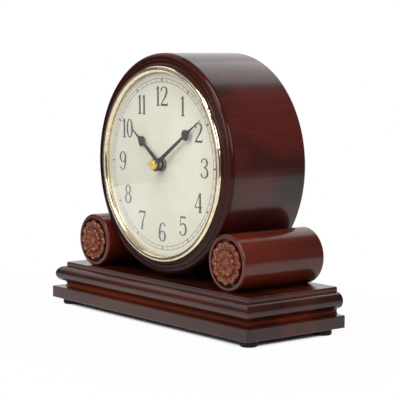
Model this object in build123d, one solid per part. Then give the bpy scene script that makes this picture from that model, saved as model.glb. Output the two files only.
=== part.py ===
from build123d import *
import os
from math import asin, atan, cos, degrees, pi, radians, sin, sqrt

# A wooden tambour mantel clock: a drum between two rolls on a moulded base, with a quartz movement.
# Millimetres. X runs to the viewer's right, the front faces -Y, Z is up from the floor.
# The drum, dial and movement are drawn in the clock frame: x right, y up, z toward the viewer,
# with its origin in the middle of the dial's face.

# Clearances
STATIC_FIT = 0.15
PUSH_FIT = 0.02
RUNNING_FIT = 0.05
SIDE_GAP = 0.1
BATTERY_GAP = 0.25
CONTACT_GAP = 0.25

# Base, from the floor up
FRONT_MARGIN = 15.3
ROLL_MARGIN = 20.5
FOOT_HEIGHT = 5.5
FOOT_RADIUS = 7.0
FOOT_MARGIN = 5.0
FOOT_CHAMFER = 0.8
BOTTOM_BOARD = 9.9
NECK_BOARD = 4.5
TORUS_BOARD = 12.9
CAP_BOARD = 4.0
NECK_INSET = 8.0
NECK_COVE = 1.2
TORUS_OVERHANG = 5.9
CAP_INSET = 1.0
ARRIS = 0.7
CAP_ROUND = 1.3

# Screws driven up through the base
BASE_SCREW_RADIUS = 1.9
BASE_SCREW_HEAD_RADIUS = 4.0
BASE_SCREW_HEAD_HEIGHT = 2.4
BASE_SCREW_SINK = 0.6
BASE_SCREW_BITE = 8.0
BASE_SCREW_POINT = 2.5
BASE_SCREW_MARGIN = 4.25

# Drum
DRUM_RADIUS = 90.0
SHELL_DEPTH = 73.0
DRUM_SETBACK = 2.2
SHELL_REAR_ROUND = 2.0
SADDLE_THICKNESS = 2.2
SADDLE_WIDTH = 44.0
SADDLE_INSET = 14.0

# Turned front ring of the drum; its seat on the shell lies behind the dial's face
RING_SEAT_DEPTH = 1.8
RING_FACE_WIDTH = 10.2
RING_ROUND = 4.2
RING_GROOVE_WIDTH = 0.6
RING_GROOVE_DEPTH = 0.8
RING_BEAD_WIDTH = 1.6
RING_LAND_HEIGHT = 2.7
RING_LAND_MARGIN = 0.8
RING_COVE_DEPTH = 0.4
RING_SPIGOT = 8.0
RING_SPIGOT_WALL = 3.4

# Back panel
PANEL_THICKNESS = 4.0
PANEL_RECESS = 1.0
PANEL_LEDGE = 5.5
PANEL_CLEARANCE = 0.3
ACCESS_RADIUS = 55.0
PANEL_SCREW_COUNT = 6
PANEL_SCREW_RADIUS = 1.1
PANEL_SCREW_HEAD_RADIUS = 2.4
PANEL_SCREW_HEAD_HEIGHT = 1.4
PANEL_SCREW_BITE = 7.0

# Rolls and rosettes
ROLL_RADIUS = 22.4
ROLL_LEAD = 8.9
ROLL_REAR_INSET = 1.0
ROLL_SEAT_FLAT = 0.4
ROLL_DRUM_GAP = 2.1
ROLL_RIM = 3.3
ROLL_RECESS = 4.6
ROLL_ROUND = 1.6
ROLL_REAR_ROUND = 1.0
ROSETTE_MARGIN = 1.5
ROSETTE_BASE = 4.4
PETAL_COUNT = 12
PETAL_HEIGHT = 1.7
PETAL_ROUND = 1.1
PETAL_HALF_WIDTH = 2.5
ROSETTE_RING_RADIUS = 6.4
ROSETTE_RING_BEAD = 0.9
ROSETTE_BOSS_RADIUS = 3.9
ROSETTE_BOSS_HEIGHT = 2.2

# Bezel, glass and dial
BEZEL_WIDTH = 5.4
BEZEL_INNER_BAND = 2.9
BEZEL_SKIRT = 0.8
BEZEL_SKIRT_DEPTH = 6.0
BEZEL_LIP = 1.1
BEZEL_EDGE = 0.8
BEZEL_CROWN = 2.0
BEZEL_GROOVE_WIDTH = 0.5
BEZEL_GROOVE_DEPTH = 0.6
GLASS_THICKNESS = 1.6
GLASS_TO_NUT = 2.0
SPACER_HEIGHT = 1.2
DIAL_THICKNESS = 0.6
RETAINER_THICKNESS = 1.0
RETAINER_WIDTH = 4.0

# Hands and their stack in front of the dial
BUSHING_RADIUS = 3.9
BUSHING_LENGTH = 1.7
DIAL_WASHER_RADIUS = 5.6
DIAL_WASHER_THICKNESS = 0.4
HEX_NUT_FLATS = 9.6
HEX_NUT_HEIGHT = 1.2
HAND_THICKNESS = 0.5
HAND_HUB_RADIUS = 5.4
HAND_BEND = 4.0
HOUR_HAND_OFFSET = 2.2
HOUR_TIP_HEIGHT = 1.3
HOUR_TIP_MARGIN = 24.2
HOUR_SPADE_TO_TIP = 22.6
MINUTE_HAND_OFFSET = 6.5
MINUTE_TIP_HEIGHT = 2.4
MINUTE_TIP_MARGIN = 9.6
MINUTE_SPADE_TO_TIP = 25.0
HAND_COLLAR_WALL = 1.1
HAND_COLLAR_HEIGHT = 1.2
STALK_FOOT_HALF_WIDTH = 1.8
STALK_TOP_HALF_WIDTH = 1.15
SPADE_HALF_WIDTH = 4.4
SPADE_SHOULDER = 3.6
SPADE_TURN_HALF_WIDTH = 3.2
SPADE_TURN = 6.3
SPADE_LENGTH = 10.8
SPADE_HOLLOW = 0.4
NEEDLE_HALF_WIDTH = 0.75
NEEDLE_TIP = 0.15
SHOWN_MINUTES = 9.1
SHOWN_HOUR = 10
HAND_NUT_RADIUS = 4.0
HAND_NUT_HEIGHT = 4.2
HAND_NUT_ROUND = 0.9
HAND_THREAD_RADIUS = 1.2
HAND_THREAD_LENGTH = 2.8
ARBOR_RADIUS = 1.6
HOUR_PIPE_WALL = 0.85

# Movement case
CASE_WALL = 1.2
CASE_CORNER = 3.0
FRONT_PLATE = 1.4
BACK_PLATE = 1.6
REAR_SPACE = 2.2
BAY_RIB = 1.0
RUBBER_WASHER_THICKNESS = 0.8
RUBBER_WASHER_RADIUS = 9.0
POST_RADIUS = 1.5
POST_INSET = 2.0

# Cell and contacts
BATTERY_RADIUS = 7.0
BATTERY_LENGTH = 50.0
BATTERY_NUB_RADIUS = 2.75
BATTERY_NUB_LENGTH = 1.2
CONTACT_THICKNESS = 0.4
CONTACT_WIDTH = 9.0
CONTACT_MARGIN = 1.0
CONTACT_POINT_RADIUS = 2.0
CONTACT_REACH = 1.15

# Gearing: tooth proportions as shares of the module and of the pitch
ADDENDUM = 0.85
DEDENDUM = 1.20
TOOTH_HALF_AT_PITCH = 0.20
TOOTH_HALF_AT_TIP = 0.09
TOOTH_HALF_AT_ROOT = 0.26
FEWEST_WHEEL_TEETH = 16
CANNON_TEETH = 12
MOTION_TEETH = 36
MOTION_PINION_TEETH = 10
HOUR_TEETH = 40
SETTING_TEETH = 24
CENTRE_TEETH = 64
THIRD_PINION_TEETH = 8
THIRD_TEETH = 60
SECONDS_PINION_TEETH = 8
SECONDS_TEETH = 60
INTERMEDIATE_PINION_TEETH = 10
INTERMEDIATE_TEETH = 50
ROTOR_TEETH = 10
MOTION_MODULE = 0.35
CENTRE_MODULE = 0.25
SECONDS_MODULE = 0.26
ROTOR_MODULE = 0.20

# Directions of the axes round the movement, in degrees from the right, seen from the front
MOTION_DIRECTION = 180.0
SETTING_DIRECTION = 150.0
THIRD_DIRECTION = 10.0
INTERMEDIATE_DIRECTION = 110.0
ROTOR_DIRECTION = 135.0

# Layers of the movement and its arbors
MOTION_WHEEL = 1.0
TRAIN_WHEEL = 0.8
LAYER_GAP = 0.6
BRIDGE_PLATE = 1.0
PIVOT_RADIUS = 0.4
PIVOT_LENGTH = 0.7
STUD_RADIUS = 0.7
REAR_ARBOR_RADIUS = 1.2
CLUTCH_SPRING_THICKNESS = 0.2
CLUTCH_SPRING_WIDTH = 1.4
SETTING_ARBOR_RADIUS = 1.2
KNOB_RADIUS = 5.5
KNOB_HEIGHT = 4.0
KNOB_FLUTES = 14
KNOB_FLUTE_RADIUS = 0.7

# Stepping motor and circuit
MAGNET_RADIUS = 3.0
MAGNET_THICKNESS = 2.4
AIR_GAP = 0.4
STATOR_THICKNESS = 1.2
STATOR_BOSS_WALL = 1.6
STATOR_BAR = 4.0
STATOR_HALF_SPAN = 12.0
COIL_RISE = 8.8
COIL_LENGTH = 15.0
COIL_FLANGE_RADIUS = 3.2
COIL_FLANGE_THICKNESS = 0.8
COIL_WINDING_RADIUS = 2.8
BOBBIN_RADIUS = 2.3
CORE_WIDTH = 4.0
CORE_THICKNESS = 1.2
BOARD_WIDTH = 17.0
BOARD_HEIGHT = 12.0
BOARD_THICKNESS = 1.0
BOARD_STANDOFF = 0.8
BOARD_MARGIN = 2.0
CHIP_SIZE = 4.0
CHIP_HEIGHT = 1.2
CRYSTAL_RADIUS = 1.5
CRYSTAL_LENGTH = 6.5

# Heights and places that follow from the sizes above
CAP_TOP = FOOT_HEIGHT + BOTTOM_BOARD + NECK_BOARD + TORUS_BOARD + CAP_BOARD
DRUM_HEIGHT = CAP_TOP + SADDLE_THICKNESS + DRUM_RADIUS
BASE_DEPTH = DRUM_SETBACK + SHELL_DEPTH + ROLL_LEAD + FRONT_MARGIN
SHELL_REAR_Y = BASE_DEPTH / 2 - DRUM_SETBACK
SHELL_FRONT_Y = SHELL_REAR_Y - SHELL_DEPTH
DIAL_FACE_Y = SHELL_FRONT_Y - RING_SEAT_DEPTH
CLOCK = Plane(origin=(0, DIAL_FACE_Y, DRUM_HEIGHT), x_dir=(1, 0, 0), z_dir=(0, -1, 0))
RING_SEAT = -RING_SEAT_DEPTH
SHELL_REAR = RING_SEAT - SHELL_DEPTH

ROLL_HEIGHT = CAP_TOP + ROLL_RADIUS - ROLL_SEAT_FLAT
ROLL_REACH = DRUM_RADIUS + ROLL_RADIUS + ROLL_DRUM_GAP
ROLL_X = sqrt(ROLL_REACH**2 - (DRUM_HEIGHT - ROLL_HEIGHT) ** 2)
ROLL_LENGTH = ROLL_LEAD + SHELL_DEPTH - ROLL_REAR_INSET
RECESS_RADIUS = ROLL_RADIUS - ROLL_RIM
BASE_WIDTH = 2 * (ROLL_X + ROLL_RADIUS + ROLL_MARGIN)

SADDLE_MIDDLE_Y = (SHELL_FRONT_Y + SHELL_REAR_Y) / 2
SADDLE_DEPTH = SHELL_DEPTH - 2 * SADDLE_INSET
BASE_SCREW_SPREAD = SADDLE_DEPTH - 2 * BASE_SCREW_MARGIN
BASE_SCREW_PLACES = [
    (x, SADDLE_MIDDLE_Y + side * BASE_SCREW_SPREAD / 2)
    for x in (-ROLL_X, 0, ROLL_X)
    for side in (-1, 1)
]

BEZEL_RADIUS = DRUM_RADIUS - RING_FACE_WIDTH
SIGHT_RADIUS = BEZEL_RADIUS - BEZEL_WIDTH
BEZEL_GROOVE_RADIUS = SIGHT_RADIUS + BEZEL_INNER_BAND
GLASS_REAR = SPACER_HEIGHT
LIP_REAR = GLASS_REAR + GLASS_THICKNESS
SKIRT_INNER = SIGHT_RADIUS + BEZEL_LIP
SKIRT_OUTER = SKIRT_INNER + BEZEL_SKIRT
INSERT_RADIUS = SKIRT_INNER - STATIC_FIT
RING_BORE = SKIRT_OUTER + STATIC_FIT
SHELL_INNER = RING_BORE + RING_SPIGOT_WALL + STATIC_FIT
DIAL_REAR = -DIAL_THICKNESS
CASE_FRONT = DIAL_REAR - RUBBER_WASHER_THICKNESS

HOUR_PIPE_BORE = ARBOR_RADIUS + RUNNING_FIT
HOUR_PIPE_RADIUS = HOUR_PIPE_BORE + HOUR_PIPE_WALL
HOUR_PIPE_END = HOUR_HAND_OFFSET + HAND_THICKNESS + HAND_COLLAR_HEIGHT / 2
HOUR_HAND_LENGTH = SIGHT_RADIUS - HOUR_TIP_MARGIN
MINUTE_HAND_LENGTH = SIGHT_RADIUS - MINUTE_TIP_MARGIN
MINUTE_SEAT = MINUTE_HAND_OFFSET + HAND_THICKNESS
GLASS_RISE = MINUTE_SEAT + HAND_NUT_HEIGHT + GLASS_TO_NUT - GLASS_REAR
MINUTE_ANGLE = SHOWN_MINUTES * 6
HOUR_ANGLE = SHOWN_HOUR * 30 + SHOWN_MINUTES / 2

CASE_HALF = BATTERY_LENGTH / 2 + CONTACT_GAP + CONTACT_REACH + CONTACT_THICKNESS + CASE_WALL
CASE_SIZE = 2 * CASE_HALF
CASE_INSIDE = CASE_HALF - CASE_WALL
BATTERY_DROP = -(CASE_INSIDE - BATTERY_GAP - BATTERY_RADIUS)
BATTERY_Z = CASE_FRONT - FRONT_PLATE - BATTERY_GAP - BATTERY_RADIUS
BAY_TOP = BATTERY_DROP + BATTERY_RADIUS + BATTERY_GAP
TRAIN_BOTTOM = BAY_TOP + BAY_RIB

# Front faces of the movement's layers, going back from the front plate
HOUR_LAYER = CASE_FRONT - FRONT_PLATE - LAYER_GAP
MOTION_LAYER = HOUR_LAYER - MOTION_WHEEL - LAYER_GAP
BRIDGE_LAYER = MOTION_LAYER - MOTION_WHEEL - LAYER_GAP
BRIDGE_REAR = BRIDGE_LAYER - BRIDGE_PLATE
CENTRE_LAYER = BRIDGE_REAR - LAYER_GAP
THIRD_LAYER = CENTRE_LAYER - TRAIN_WHEEL - LAYER_GAP
SECONDS_LAYER = THIRD_LAYER - TRAIN_WHEEL - LAYER_GAP
INTERMEDIATE_LAYER = SECONDS_LAYER - TRAIN_WHEEL - LAYER_GAP
CASE_REAR = INTERMEDIATE_LAYER - TRAIN_WHEEL - REAR_SPACE
COVER_REAR = CASE_REAR - BACK_PLATE
CORE_MIDDLE = BRIDGE_REAR - COIL_FLANGE_RADIUS - STATIC_FIT
CORE_FRONT = CORE_MIDDLE + CORE_THICKNESS / 2
STATOR_LAYER = CORE_FRONT + STATOR_THICKNESS
CENTRE_ARBOR_REAR = THIRD_LAYER + 2 * SIDE_GAP

# Axis distances, and the modules that keep two gear pairs on the same pair of axes
MOTION_DISTANCE = (CANNON_TEETH + MOTION_TEETH) * MOTION_MODULE / 2
HOUR_MODULE = 2 * MOTION_DISTANCE / (MOTION_PINION_TEETH + HOUR_TEETH)
CENTRE_DISTANCE = (CENTRE_TEETH + THIRD_PINION_TEETH) * CENTRE_MODULE / 2
THIRD_MODULE = 2 * CENTRE_DISTANCE / (THIRD_TEETH + SECONDS_PINION_TEETH)
SETTING_DISTANCE = (MOTION_TEETH + SETTING_TEETH) * MOTION_MODULE / 2
SECONDS_DISTANCE = (SECONDS_TEETH + INTERMEDIATE_PINION_TEETH) * SECONDS_MODULE / 2
ROTOR_DISTANCE = (INTERMEDIATE_TEETH + ROTOR_TEETH) * ROTOR_MODULE / 2

ON_BACK = (Align.CENTER, Align.CENTER, Align.MIN)


# Basic shapes in the clock frame

def along(start, direction, distance):
    """The point at this distance from start, in a direction in degrees."""
    angle = radians(direction)
    return (start[0] + distance * cos(angle), start[1] + distance * sin(angle))


def rod(radius, back, front, at=(0, 0)):
    return Pos(at[0], at[1], back) * Cylinder(radius, front - back, align=ON_BACK)


def tube(outer, inner, back, front, at=(0, 0)):
    return rod(outer, back, front, at) - rod(inner, back, front, at)


def block(width, height, back, front, at=(0, 0)):
    return Pos(at[0], at[1], back) * Box(width, height, front - back, align=ON_BACK)


def slab(face, back, front):
    return extrude(Pos(0, 0, back) * face, amount=front - back)


def turned(outline):
    """A solid of revolution about the z axis from edges drawn as (radius, z)."""
    return revolve(Plane.XZ * make_face(outline), Axis.Z)


def on_clock(shape):
    return CLOCK.location * shape


def group(shapes):
    return Compound(children=list(shapes))


# Positions of the movement's axes

CENTRE_AXIS = (0, 0)
MOTION_AXIS = along(CENTRE_AXIS, MOTION_DIRECTION, MOTION_DISTANCE)
SETTING_AXIS = along(MOTION_AXIS, SETTING_DIRECTION, SETTING_DISTANCE)
THIRD_AXIS = along(CENTRE_AXIS, THIRD_DIRECTION, CENTRE_DISTANCE)
INTERMEDIATE_AXIS = along(CENTRE_AXIS, INTERMEDIATE_DIRECTION, SECONDS_DISTANCE)
ROTOR_AXIS = along(INTERMEDIATE_AXIS, ROTOR_DIRECTION, ROTOR_DISTANCE)


# Gears

def gear(teeth, module, back, front, at, phase=0.0):
    """A spur gear with one tooth centred at the phase angle, in radians."""
    pitch_radius = teeth * module / 2
    tip_radius = pitch_radius + ADDENDUM * module
    root_radius = pitch_radius - DEDENDUM * module
    pitch_angle = 2 * pi / teeth
    root_share = TOOTH_HALF_AT_ROOT if teeth >= FEWEST_WHEEL_TEETH else TOOTH_HALF_AT_PITCH
    flank = [
        (root_radius, root_share),
        (pitch_radius, TOOTH_HALF_AT_PITCH),
        (tip_radius, TOOTH_HALF_AT_TIP),
    ]
    tooth = [(r, -share) for r, share in flank] + list(reversed(flank))
    points = []
    for number in range(teeth):
        for radius, share in tooth:
            angle = phase + (number + share) * pitch_angle
            points.append((radius * cos(angle), radius * sin(angle)))
    outline = make_face(Polyline(*points, close=True))
    return Pos(at[0], at[1], 0) * slab(outline, back, front)


def meshed_phase(teeth, phase, follower_teeth, direction):
    """The follower's phase that puts its teeth between a gear's, with direction pointing to it."""
    toward = radians(direction)
    through_pitch = (phase - toward) * teeth / (2 * pi)
    return toward + pi + (0.5 - through_pitch) * 2 * pi / follower_teeth


MOTION_PHASE = meshed_phase(CANNON_TEETH, 0, MOTION_TEETH, MOTION_DIRECTION)
SETTING_PHASE = meshed_phase(MOTION_TEETH, MOTION_PHASE, SETTING_TEETH, SETTING_DIRECTION)
MOTION_PINION_PHASE = meshed_phase(HOUR_TEETH, 0, MOTION_PINION_TEETH, MOTION_DIRECTION)
THIRD_PINION_PHASE = meshed_phase(CENTRE_TEETH, 0, THIRD_PINION_TEETH, THIRD_DIRECTION)
THIRD_PHASE = meshed_phase(SECONDS_PINION_TEETH, 0, THIRD_TEETH, THIRD_DIRECTION)
INTERMEDIATE_PINION_PHASE = meshed_phase(
    SECONDS_TEETH, 0, INTERMEDIATE_PINION_TEETH, INTERMEDIATE_DIRECTION
)
ROTOR_PHASE = meshed_phase(INTERMEDIATE_TEETH, 0, ROTOR_TEETH, ROTOR_DIRECTION)


# Base

def base_board(inset, bottom, height):
    """A board set back from the widest one at front and ends, flush with it at the back."""
    width = BASE_WIDTH - 2 * inset
    depth = BASE_DEPTH - inset
    return Pos(0, inset / 2, bottom) * Box(width, depth, height, align=ON_BACK)


def half_round_board(inset, bottom, height):
    """The same, with a half-round edge at the front and both ends, mitred at the corners."""
    radius = height / 2
    half_width = BASE_WIDTH / 2 - inset
    front = -BASE_DEPTH / 2 + inset
    middle = bottom + radius
    ends = Pos(0, 0, middle) * (Plane.XZ * SlotOverall(2 * half_width, height))
    across = extrude(ends, amount=BASE_DEPTH, both=True)
    nose = Pos(0, front + radius, middle) * Rot(0, 90, 0) * Cylinder(radius, 2 * half_width)
    body_depth = BASE_DEPTH / 2 - front - radius
    body = Box(2 * half_width, body_depth, height, align=ON_BACK)
    return across & (nose + Pos(0, front + radius + body_depth / 2, bottom) * body)


def base_screw(place):
    bottom = FOOT_HEIGHT + BASE_SCREW_SINK
    tip = CAP_TOP + BASE_SCREW_BITE
    shank_length = tip - BASE_SCREW_POINT - bottom
    head = Cylinder(BASE_SCREW_HEAD_RADIUS, BASE_SCREW_HEAD_HEIGHT, align=ON_BACK)
    shank = Cylinder(BASE_SCREW_RADIUS, shank_length, align=ON_BACK)
    point = Pos(0, 0, shank_length) * Cone(BASE_SCREW_RADIUS, 0, BASE_SCREW_POINT, align=ON_BACK)
    return Pos(*place, bottom) * (head + shank + point)


def base_screw_holes():
    """What the screws remove from everything that they pass through."""
    shank_length = CAP_TOP + BASE_SCREW_BITE + STATIC_FIT - FOOT_HEIGHT
    head_depth = BASE_SCREW_SINK + BASE_SCREW_HEAD_HEIGHT
    shank = Cylinder(BASE_SCREW_RADIUS + STATIC_FIT, shank_length, align=ON_BACK)
    head = Cylinder(BASE_SCREW_HEAD_RADIUS + STATIC_FIT, head_depth, align=ON_BACK)
    return [Pos(*place, FOOT_HEIGHT) * (shank + head) for place in BASE_SCREW_PLACES]


def eased(board, radius, faces):
    """A board with its front corners and the edges of these faces rounded, except along its back."""
    edges = board.edges().filter_by(Axis.Z).group_by(Axis.Y)[0]
    for face in faces:
        edges += [edge for edge in face.edges() if edge.center().Y < BASE_DEPTH / 2 - radius]
    return fillet(edges, radius)


def bottom_board():
    board = base_board(0, FOOT_HEIGHT, BOTTOM_BOARD)
    faces = board.faces().sort_by(Axis.Z)
    return eased(board, ARRIS, (faces[0], faces[-1])) - base_screw_holes()


def neck_board():
    """A board with a cove hollowed along its front and both ends."""
    bottom = FOOT_HEIGHT + BOTTOM_BOARD
    middle = bottom + NECK_BOARD / 2
    radius = ((NECK_BOARD / 2) ** 2 + NECK_COVE**2) / (2 * NECK_COVE)
    outside = NECK_INSET + NECK_COVE - radius
    across = Rot(0, 90, 0) * Cylinder(radius, BASE_WIDTH)
    along_end = Rot(90, 0, 0) * Cylinder(radius, BASE_DEPTH)
    board = base_board(NECK_INSET, bottom, NECK_BOARD)
    board = board - Pos(0, outside - BASE_DEPTH / 2, middle) * across
    board = board - [Pos(side * (BASE_WIDTH / 2 - outside), 0, middle) * along_end for side in (-1, 1)]
    return board - base_screw_holes()


def torus_board():
    bottom = FOOT_HEIGHT + BOTTOM_BOARD + NECK_BOARD
    return half_round_board(NECK_INSET - TORUS_OVERHANG, bottom, TORUS_BOARD) - base_screw_holes()


def cap_board():
    board = base_board(NECK_INSET + CAP_INSET, CAP_TOP - CAP_BOARD, CAP_BOARD)
    top = board.faces().sort_by(Axis.Z)[-1]
    return eased(board, CAP_ROUND, (top,)) - base_screw_holes()


def feet():
    x = BASE_WIDTH / 2 - FOOT_MARGIN - FOOT_RADIUS
    y = BASE_DEPTH / 2 - FOOT_MARGIN - FOOT_RADIUS
    pad = Cylinder(FOOT_RADIUS, FOOT_HEIGHT, align=ON_BACK)
    pad = chamfer(pad.edges().sort_by(Axis.Z)[0], FOOT_CHAMFER)
    return group(Pos(side * x, end * y, 0) * pad for side in (-1, 1) for end in (-1, 1))


# Rolls and rosettes

def roll_frame(side):
    middle = (side * ROLL_X, SHELL_FRONT_Y - ROLL_LEAD, ROLL_HEIGHT)
    return Plane(origin=middle, x_dir=(1, 0, 0), z_dir=(0, -1, 0))


def roll(side):
    body = rod(ROLL_RADIUS, -ROLL_LENGTH, 0) - rod(RECESS_RADIUS, -ROLL_RECESS, 0)
    front_edges = body.edges().filter_by(GeomType.CIRCLE).group_by(Axis.Z)[-1]
    body = fillet(front_edges.sort_by(SortBy.RADIUS)[-1], ROLL_ROUND)
    rear_edge = body.edges().filter_by(GeomType.CIRCLE).sort_by(Axis.Z)[0]
    body = fillet(rear_edge, ROLL_REAR_ROUND)
    seat = ROLL_SEAT_FLAT - ROLL_RADIUS
    waste = block(2 * ROLL_RADIUS, ROLL_RADIUS, -ROLL_LENGTH, 0, (0, seat - ROLL_RADIUS / 2))
    return roll_frame(side).location * (body - waste) - base_screw_holes()


def rosette(side):
    """A carved flower: a ring of cushion petals round a bead and a boss, on a disc as deep as the recess."""
    floor = -ROLL_RECESS
    face = floor + ROSETTE_BASE
    outer = RECESS_RADIUS - ROSETTE_MARGIN
    inner = ROSETTE_RING_RADIUS + ROSETTE_RING_BEAD
    petal_outline = Ellipse((outer - inner) / 2, PETAL_HALF_WIDTH)
    petal = extrude(petal_outline, amount=PETAL_HEIGHT)
    petal = fillet(petal.faces().sort_by(Axis.Z)[-1].edges(), PETAL_ROUND)
    flower = rod(outer - PETAL_HALF_WIDTH, floor, face)
    for number in range(PETAL_COUNT):
        lobe = Rot(0, 0, number * 360 / PETAL_COUNT) * Pos((outer + inner) / 2, 0, face) * petal
        foot = extrude(lobe.faces().sort_by(Axis.Z)[0], amount=ROSETTE_BASE)
        flower = flower + lobe + foot
    bead = Pos(0, 0, face) * Torus(ROSETTE_RING_RADIUS, ROSETTE_RING_BEAD)
    ball_radius = (ROSETTE_BOSS_RADIUS**2 + ROSETTE_BOSS_HEIGHT**2) / (2 * ROSETTE_BOSS_HEIGHT)
    boss = Pos(0, 0, face + ROSETTE_BOSS_HEIGHT - ball_radius) * Sphere(ball_radius)
    boss = boss & rod(ROSETTE_BOSS_RADIUS, floor, face + ROSETTE_BOSS_HEIGHT)
    return roll_frame(side).location * (flower + bead + boss)


# Drum

def drum_shell():
    ledge_radius = SHELL_INNER + PANEL_LEDGE
    ledge = SHELL_REAR + PANEL_RECESS + PANEL_THICKNESS
    wall = tube(DRUM_RADIUS, SHELL_INNER, SHELL_REAR, RING_SEAT) - rod(ledge_radius, SHELL_REAR, ledge)
    rear_edges = wall.edges().filter_by(GeomType.CIRCLE).group_by(Axis.Z)[0]
    wall = fillet(rear_edges.sort_by(SortBy.RADIUS)[-1], SHELL_REAR_ROUND)
    pilot = rod(PANEL_SCREW_RADIUS + PUSH_FIT, ledge, ledge + PANEL_SCREW_BITE + STATIC_FIT)
    wall = wall - [panel_screw_place(n) * pilot for n in range(PANEL_SCREW_COUNT)]
    return on_clock(wall) - base_screw_holes()


def front_ring():
    """The turned ring: outer round, groove, bead and cove, then the land that the bezel sits on."""
    round_end = DRUM_RADIUS - RING_ROUND
    groove_end = round_end - RING_GROOVE_WIDTH
    crest = RING_SEAT + RING_ROUND
    groove_floor = crest - RING_GROOVE_DEPTH
    bead_end = groove_end - RING_BEAD_WIDTH
    land_end = BEZEL_RADIUS + RING_LAND_MARGIN
    spigot = SHELL_INNER - STATIC_FIT
    spigot_rear = RING_SEAT - RING_SPIGOT
    diagonal = RING_ROUND / sqrt(2)
    cove_middle = ((bead_end + land_end) / 2, (groove_floor + RING_LAND_HEIGHT) / 2 - RING_COVE_DEPTH)
    outline = [
        Polyline((DRUM_RADIUS, RING_SEAT), (spigot, RING_SEAT), (spigot, spigot_rear)),
        Polyline((spigot, spigot_rear), (RING_BORE, spigot_rear), (RING_BORE, RING_LAND_HEIGHT)),
        Line((RING_BORE, RING_LAND_HEIGHT), (land_end, RING_LAND_HEIGHT)),
        ThreePointArc((land_end, RING_LAND_HEIGHT), cove_middle, (bead_end, groove_floor)),
        ThreePointArc(
            (bead_end, groove_floor),
            ((bead_end + groove_end) / 2, groove_floor + RING_BEAD_WIDTH / 2),
            (groove_end, groove_floor),
        ),
        Polyline((groove_end, groove_floor), (round_end, groove_floor), (round_end, crest)),
        ThreePointArc(
            (round_end, crest),
            (round_end + diagonal, RING_SEAT + diagonal),
            (DRUM_RADIUS, RING_SEAT),
        ),
    ]
    return on_clock(turned(outline))


def drum_saddle():
    """A low block, hollowed to the drum, that stands between the drum and the cap board."""
    drop = DRUM_RADIUS - sqrt(DRUM_RADIUS**2 - (SADDLE_WIDTH / 2) ** 2)
    height = SADDLE_THICKNESS + drop
    body = Pos(0, SADDLE_MIDDLE_Y, CAP_TOP) * Box(SADDLE_WIDTH, SADDLE_DEPTH, height, align=ON_BACK)
    hollow = on_clock(rod(DRUM_RADIUS + PUSH_FIT, SHELL_REAR, RING_SEAT))
    return body - hollow - base_screw_holes()


def panel_screw_place(number):
    turn = (number + 0.5) * 360 / PANEL_SCREW_COUNT
    return Rot(0, 0, turn) * Pos(SHELL_INNER + PANEL_LEDGE / 2, 0, 0)


def back_panel():
    rear = SHELL_REAR + PANEL_RECESS
    radius = SHELL_INNER + PANEL_LEDGE - PANEL_CLEARANCE
    panel = tube(radius, ACCESS_RADIUS, rear, rear + PANEL_THICKNESS)
    hole = rod(PANEL_SCREW_RADIUS + STATIC_FIT, rear, rear + PANEL_THICKNESS)
    return on_clock(panel - [panel_screw_place(n) * hole for n in range(PANEL_SCREW_COUNT)])


def back_panel_screws():
    rear = SHELL_REAR + PANEL_RECESS
    head = rod(PANEL_SCREW_HEAD_RADIUS, rear - PANEL_SCREW_HEAD_HEIGHT, rear)
    shank = rod(PANEL_SCREW_RADIUS, rear, rear + PANEL_THICKNESS + PANEL_SCREW_BITE)
    screw = head + shank
    return group(on_clock(panel_screw_place(n) * screw) for n in range(PANEL_SCREW_COUNT))


# Bezel, glass and dial

def bezel():
    """A polished ring with a groove between two rounded bands, and a skirt that holds glass and dial."""
    crown = LIP_REAR + BEZEL_EDGE + BEZEL_CROWN
    edge = LIP_REAR + BEZEL_EDGE
    groove_in = BEZEL_GROOVE_RADIUS - BEZEL_GROOVE_WIDTH / 2
    groove_out = BEZEL_GROOVE_RADIUS + BEZEL_GROOVE_WIDTH / 2
    skirt_rear = LIP_REAR - BEZEL_SKIRT_DEPTH - GLASS_THICKNESS
    band_top = crown - BEZEL_GROOVE_DEPTH / 2
    groove_floor = crown - BEZEL_GROOVE_DEPTH
    outline = [
        Polyline((SKIRT_INNER, LIP_REAR), (SIGHT_RADIUS, LIP_REAR), (SIGHT_RADIUS, edge)),
        ThreePointArc((SIGHT_RADIUS, edge), ((SIGHT_RADIUS + groove_in) / 2, band_top), (groove_in, crown)),
        ThreePointArc((groove_in, crown), (BEZEL_GROOVE_RADIUS, groove_floor), (groove_out, crown)),
        ThreePointArc((groove_out, crown), ((groove_out + BEZEL_RADIUS) / 2, band_top), (BEZEL_RADIUS, edge)),
        Polyline((BEZEL_RADIUS, edge), (BEZEL_RADIUS, RING_LAND_HEIGHT), (SKIRT_OUTER, RING_LAND_HEIGHT)),
        Polyline((SKIRT_OUTER, RING_LAND_HEIGHT), (SKIRT_OUTER, skirt_rear), (SKIRT_INNER, skirt_rear)),
        Line((SKIRT_INNER, skirt_rear), (SKIRT_INNER, LIP_REAR)),
    ]
    return on_clock(turned(outline))


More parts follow.
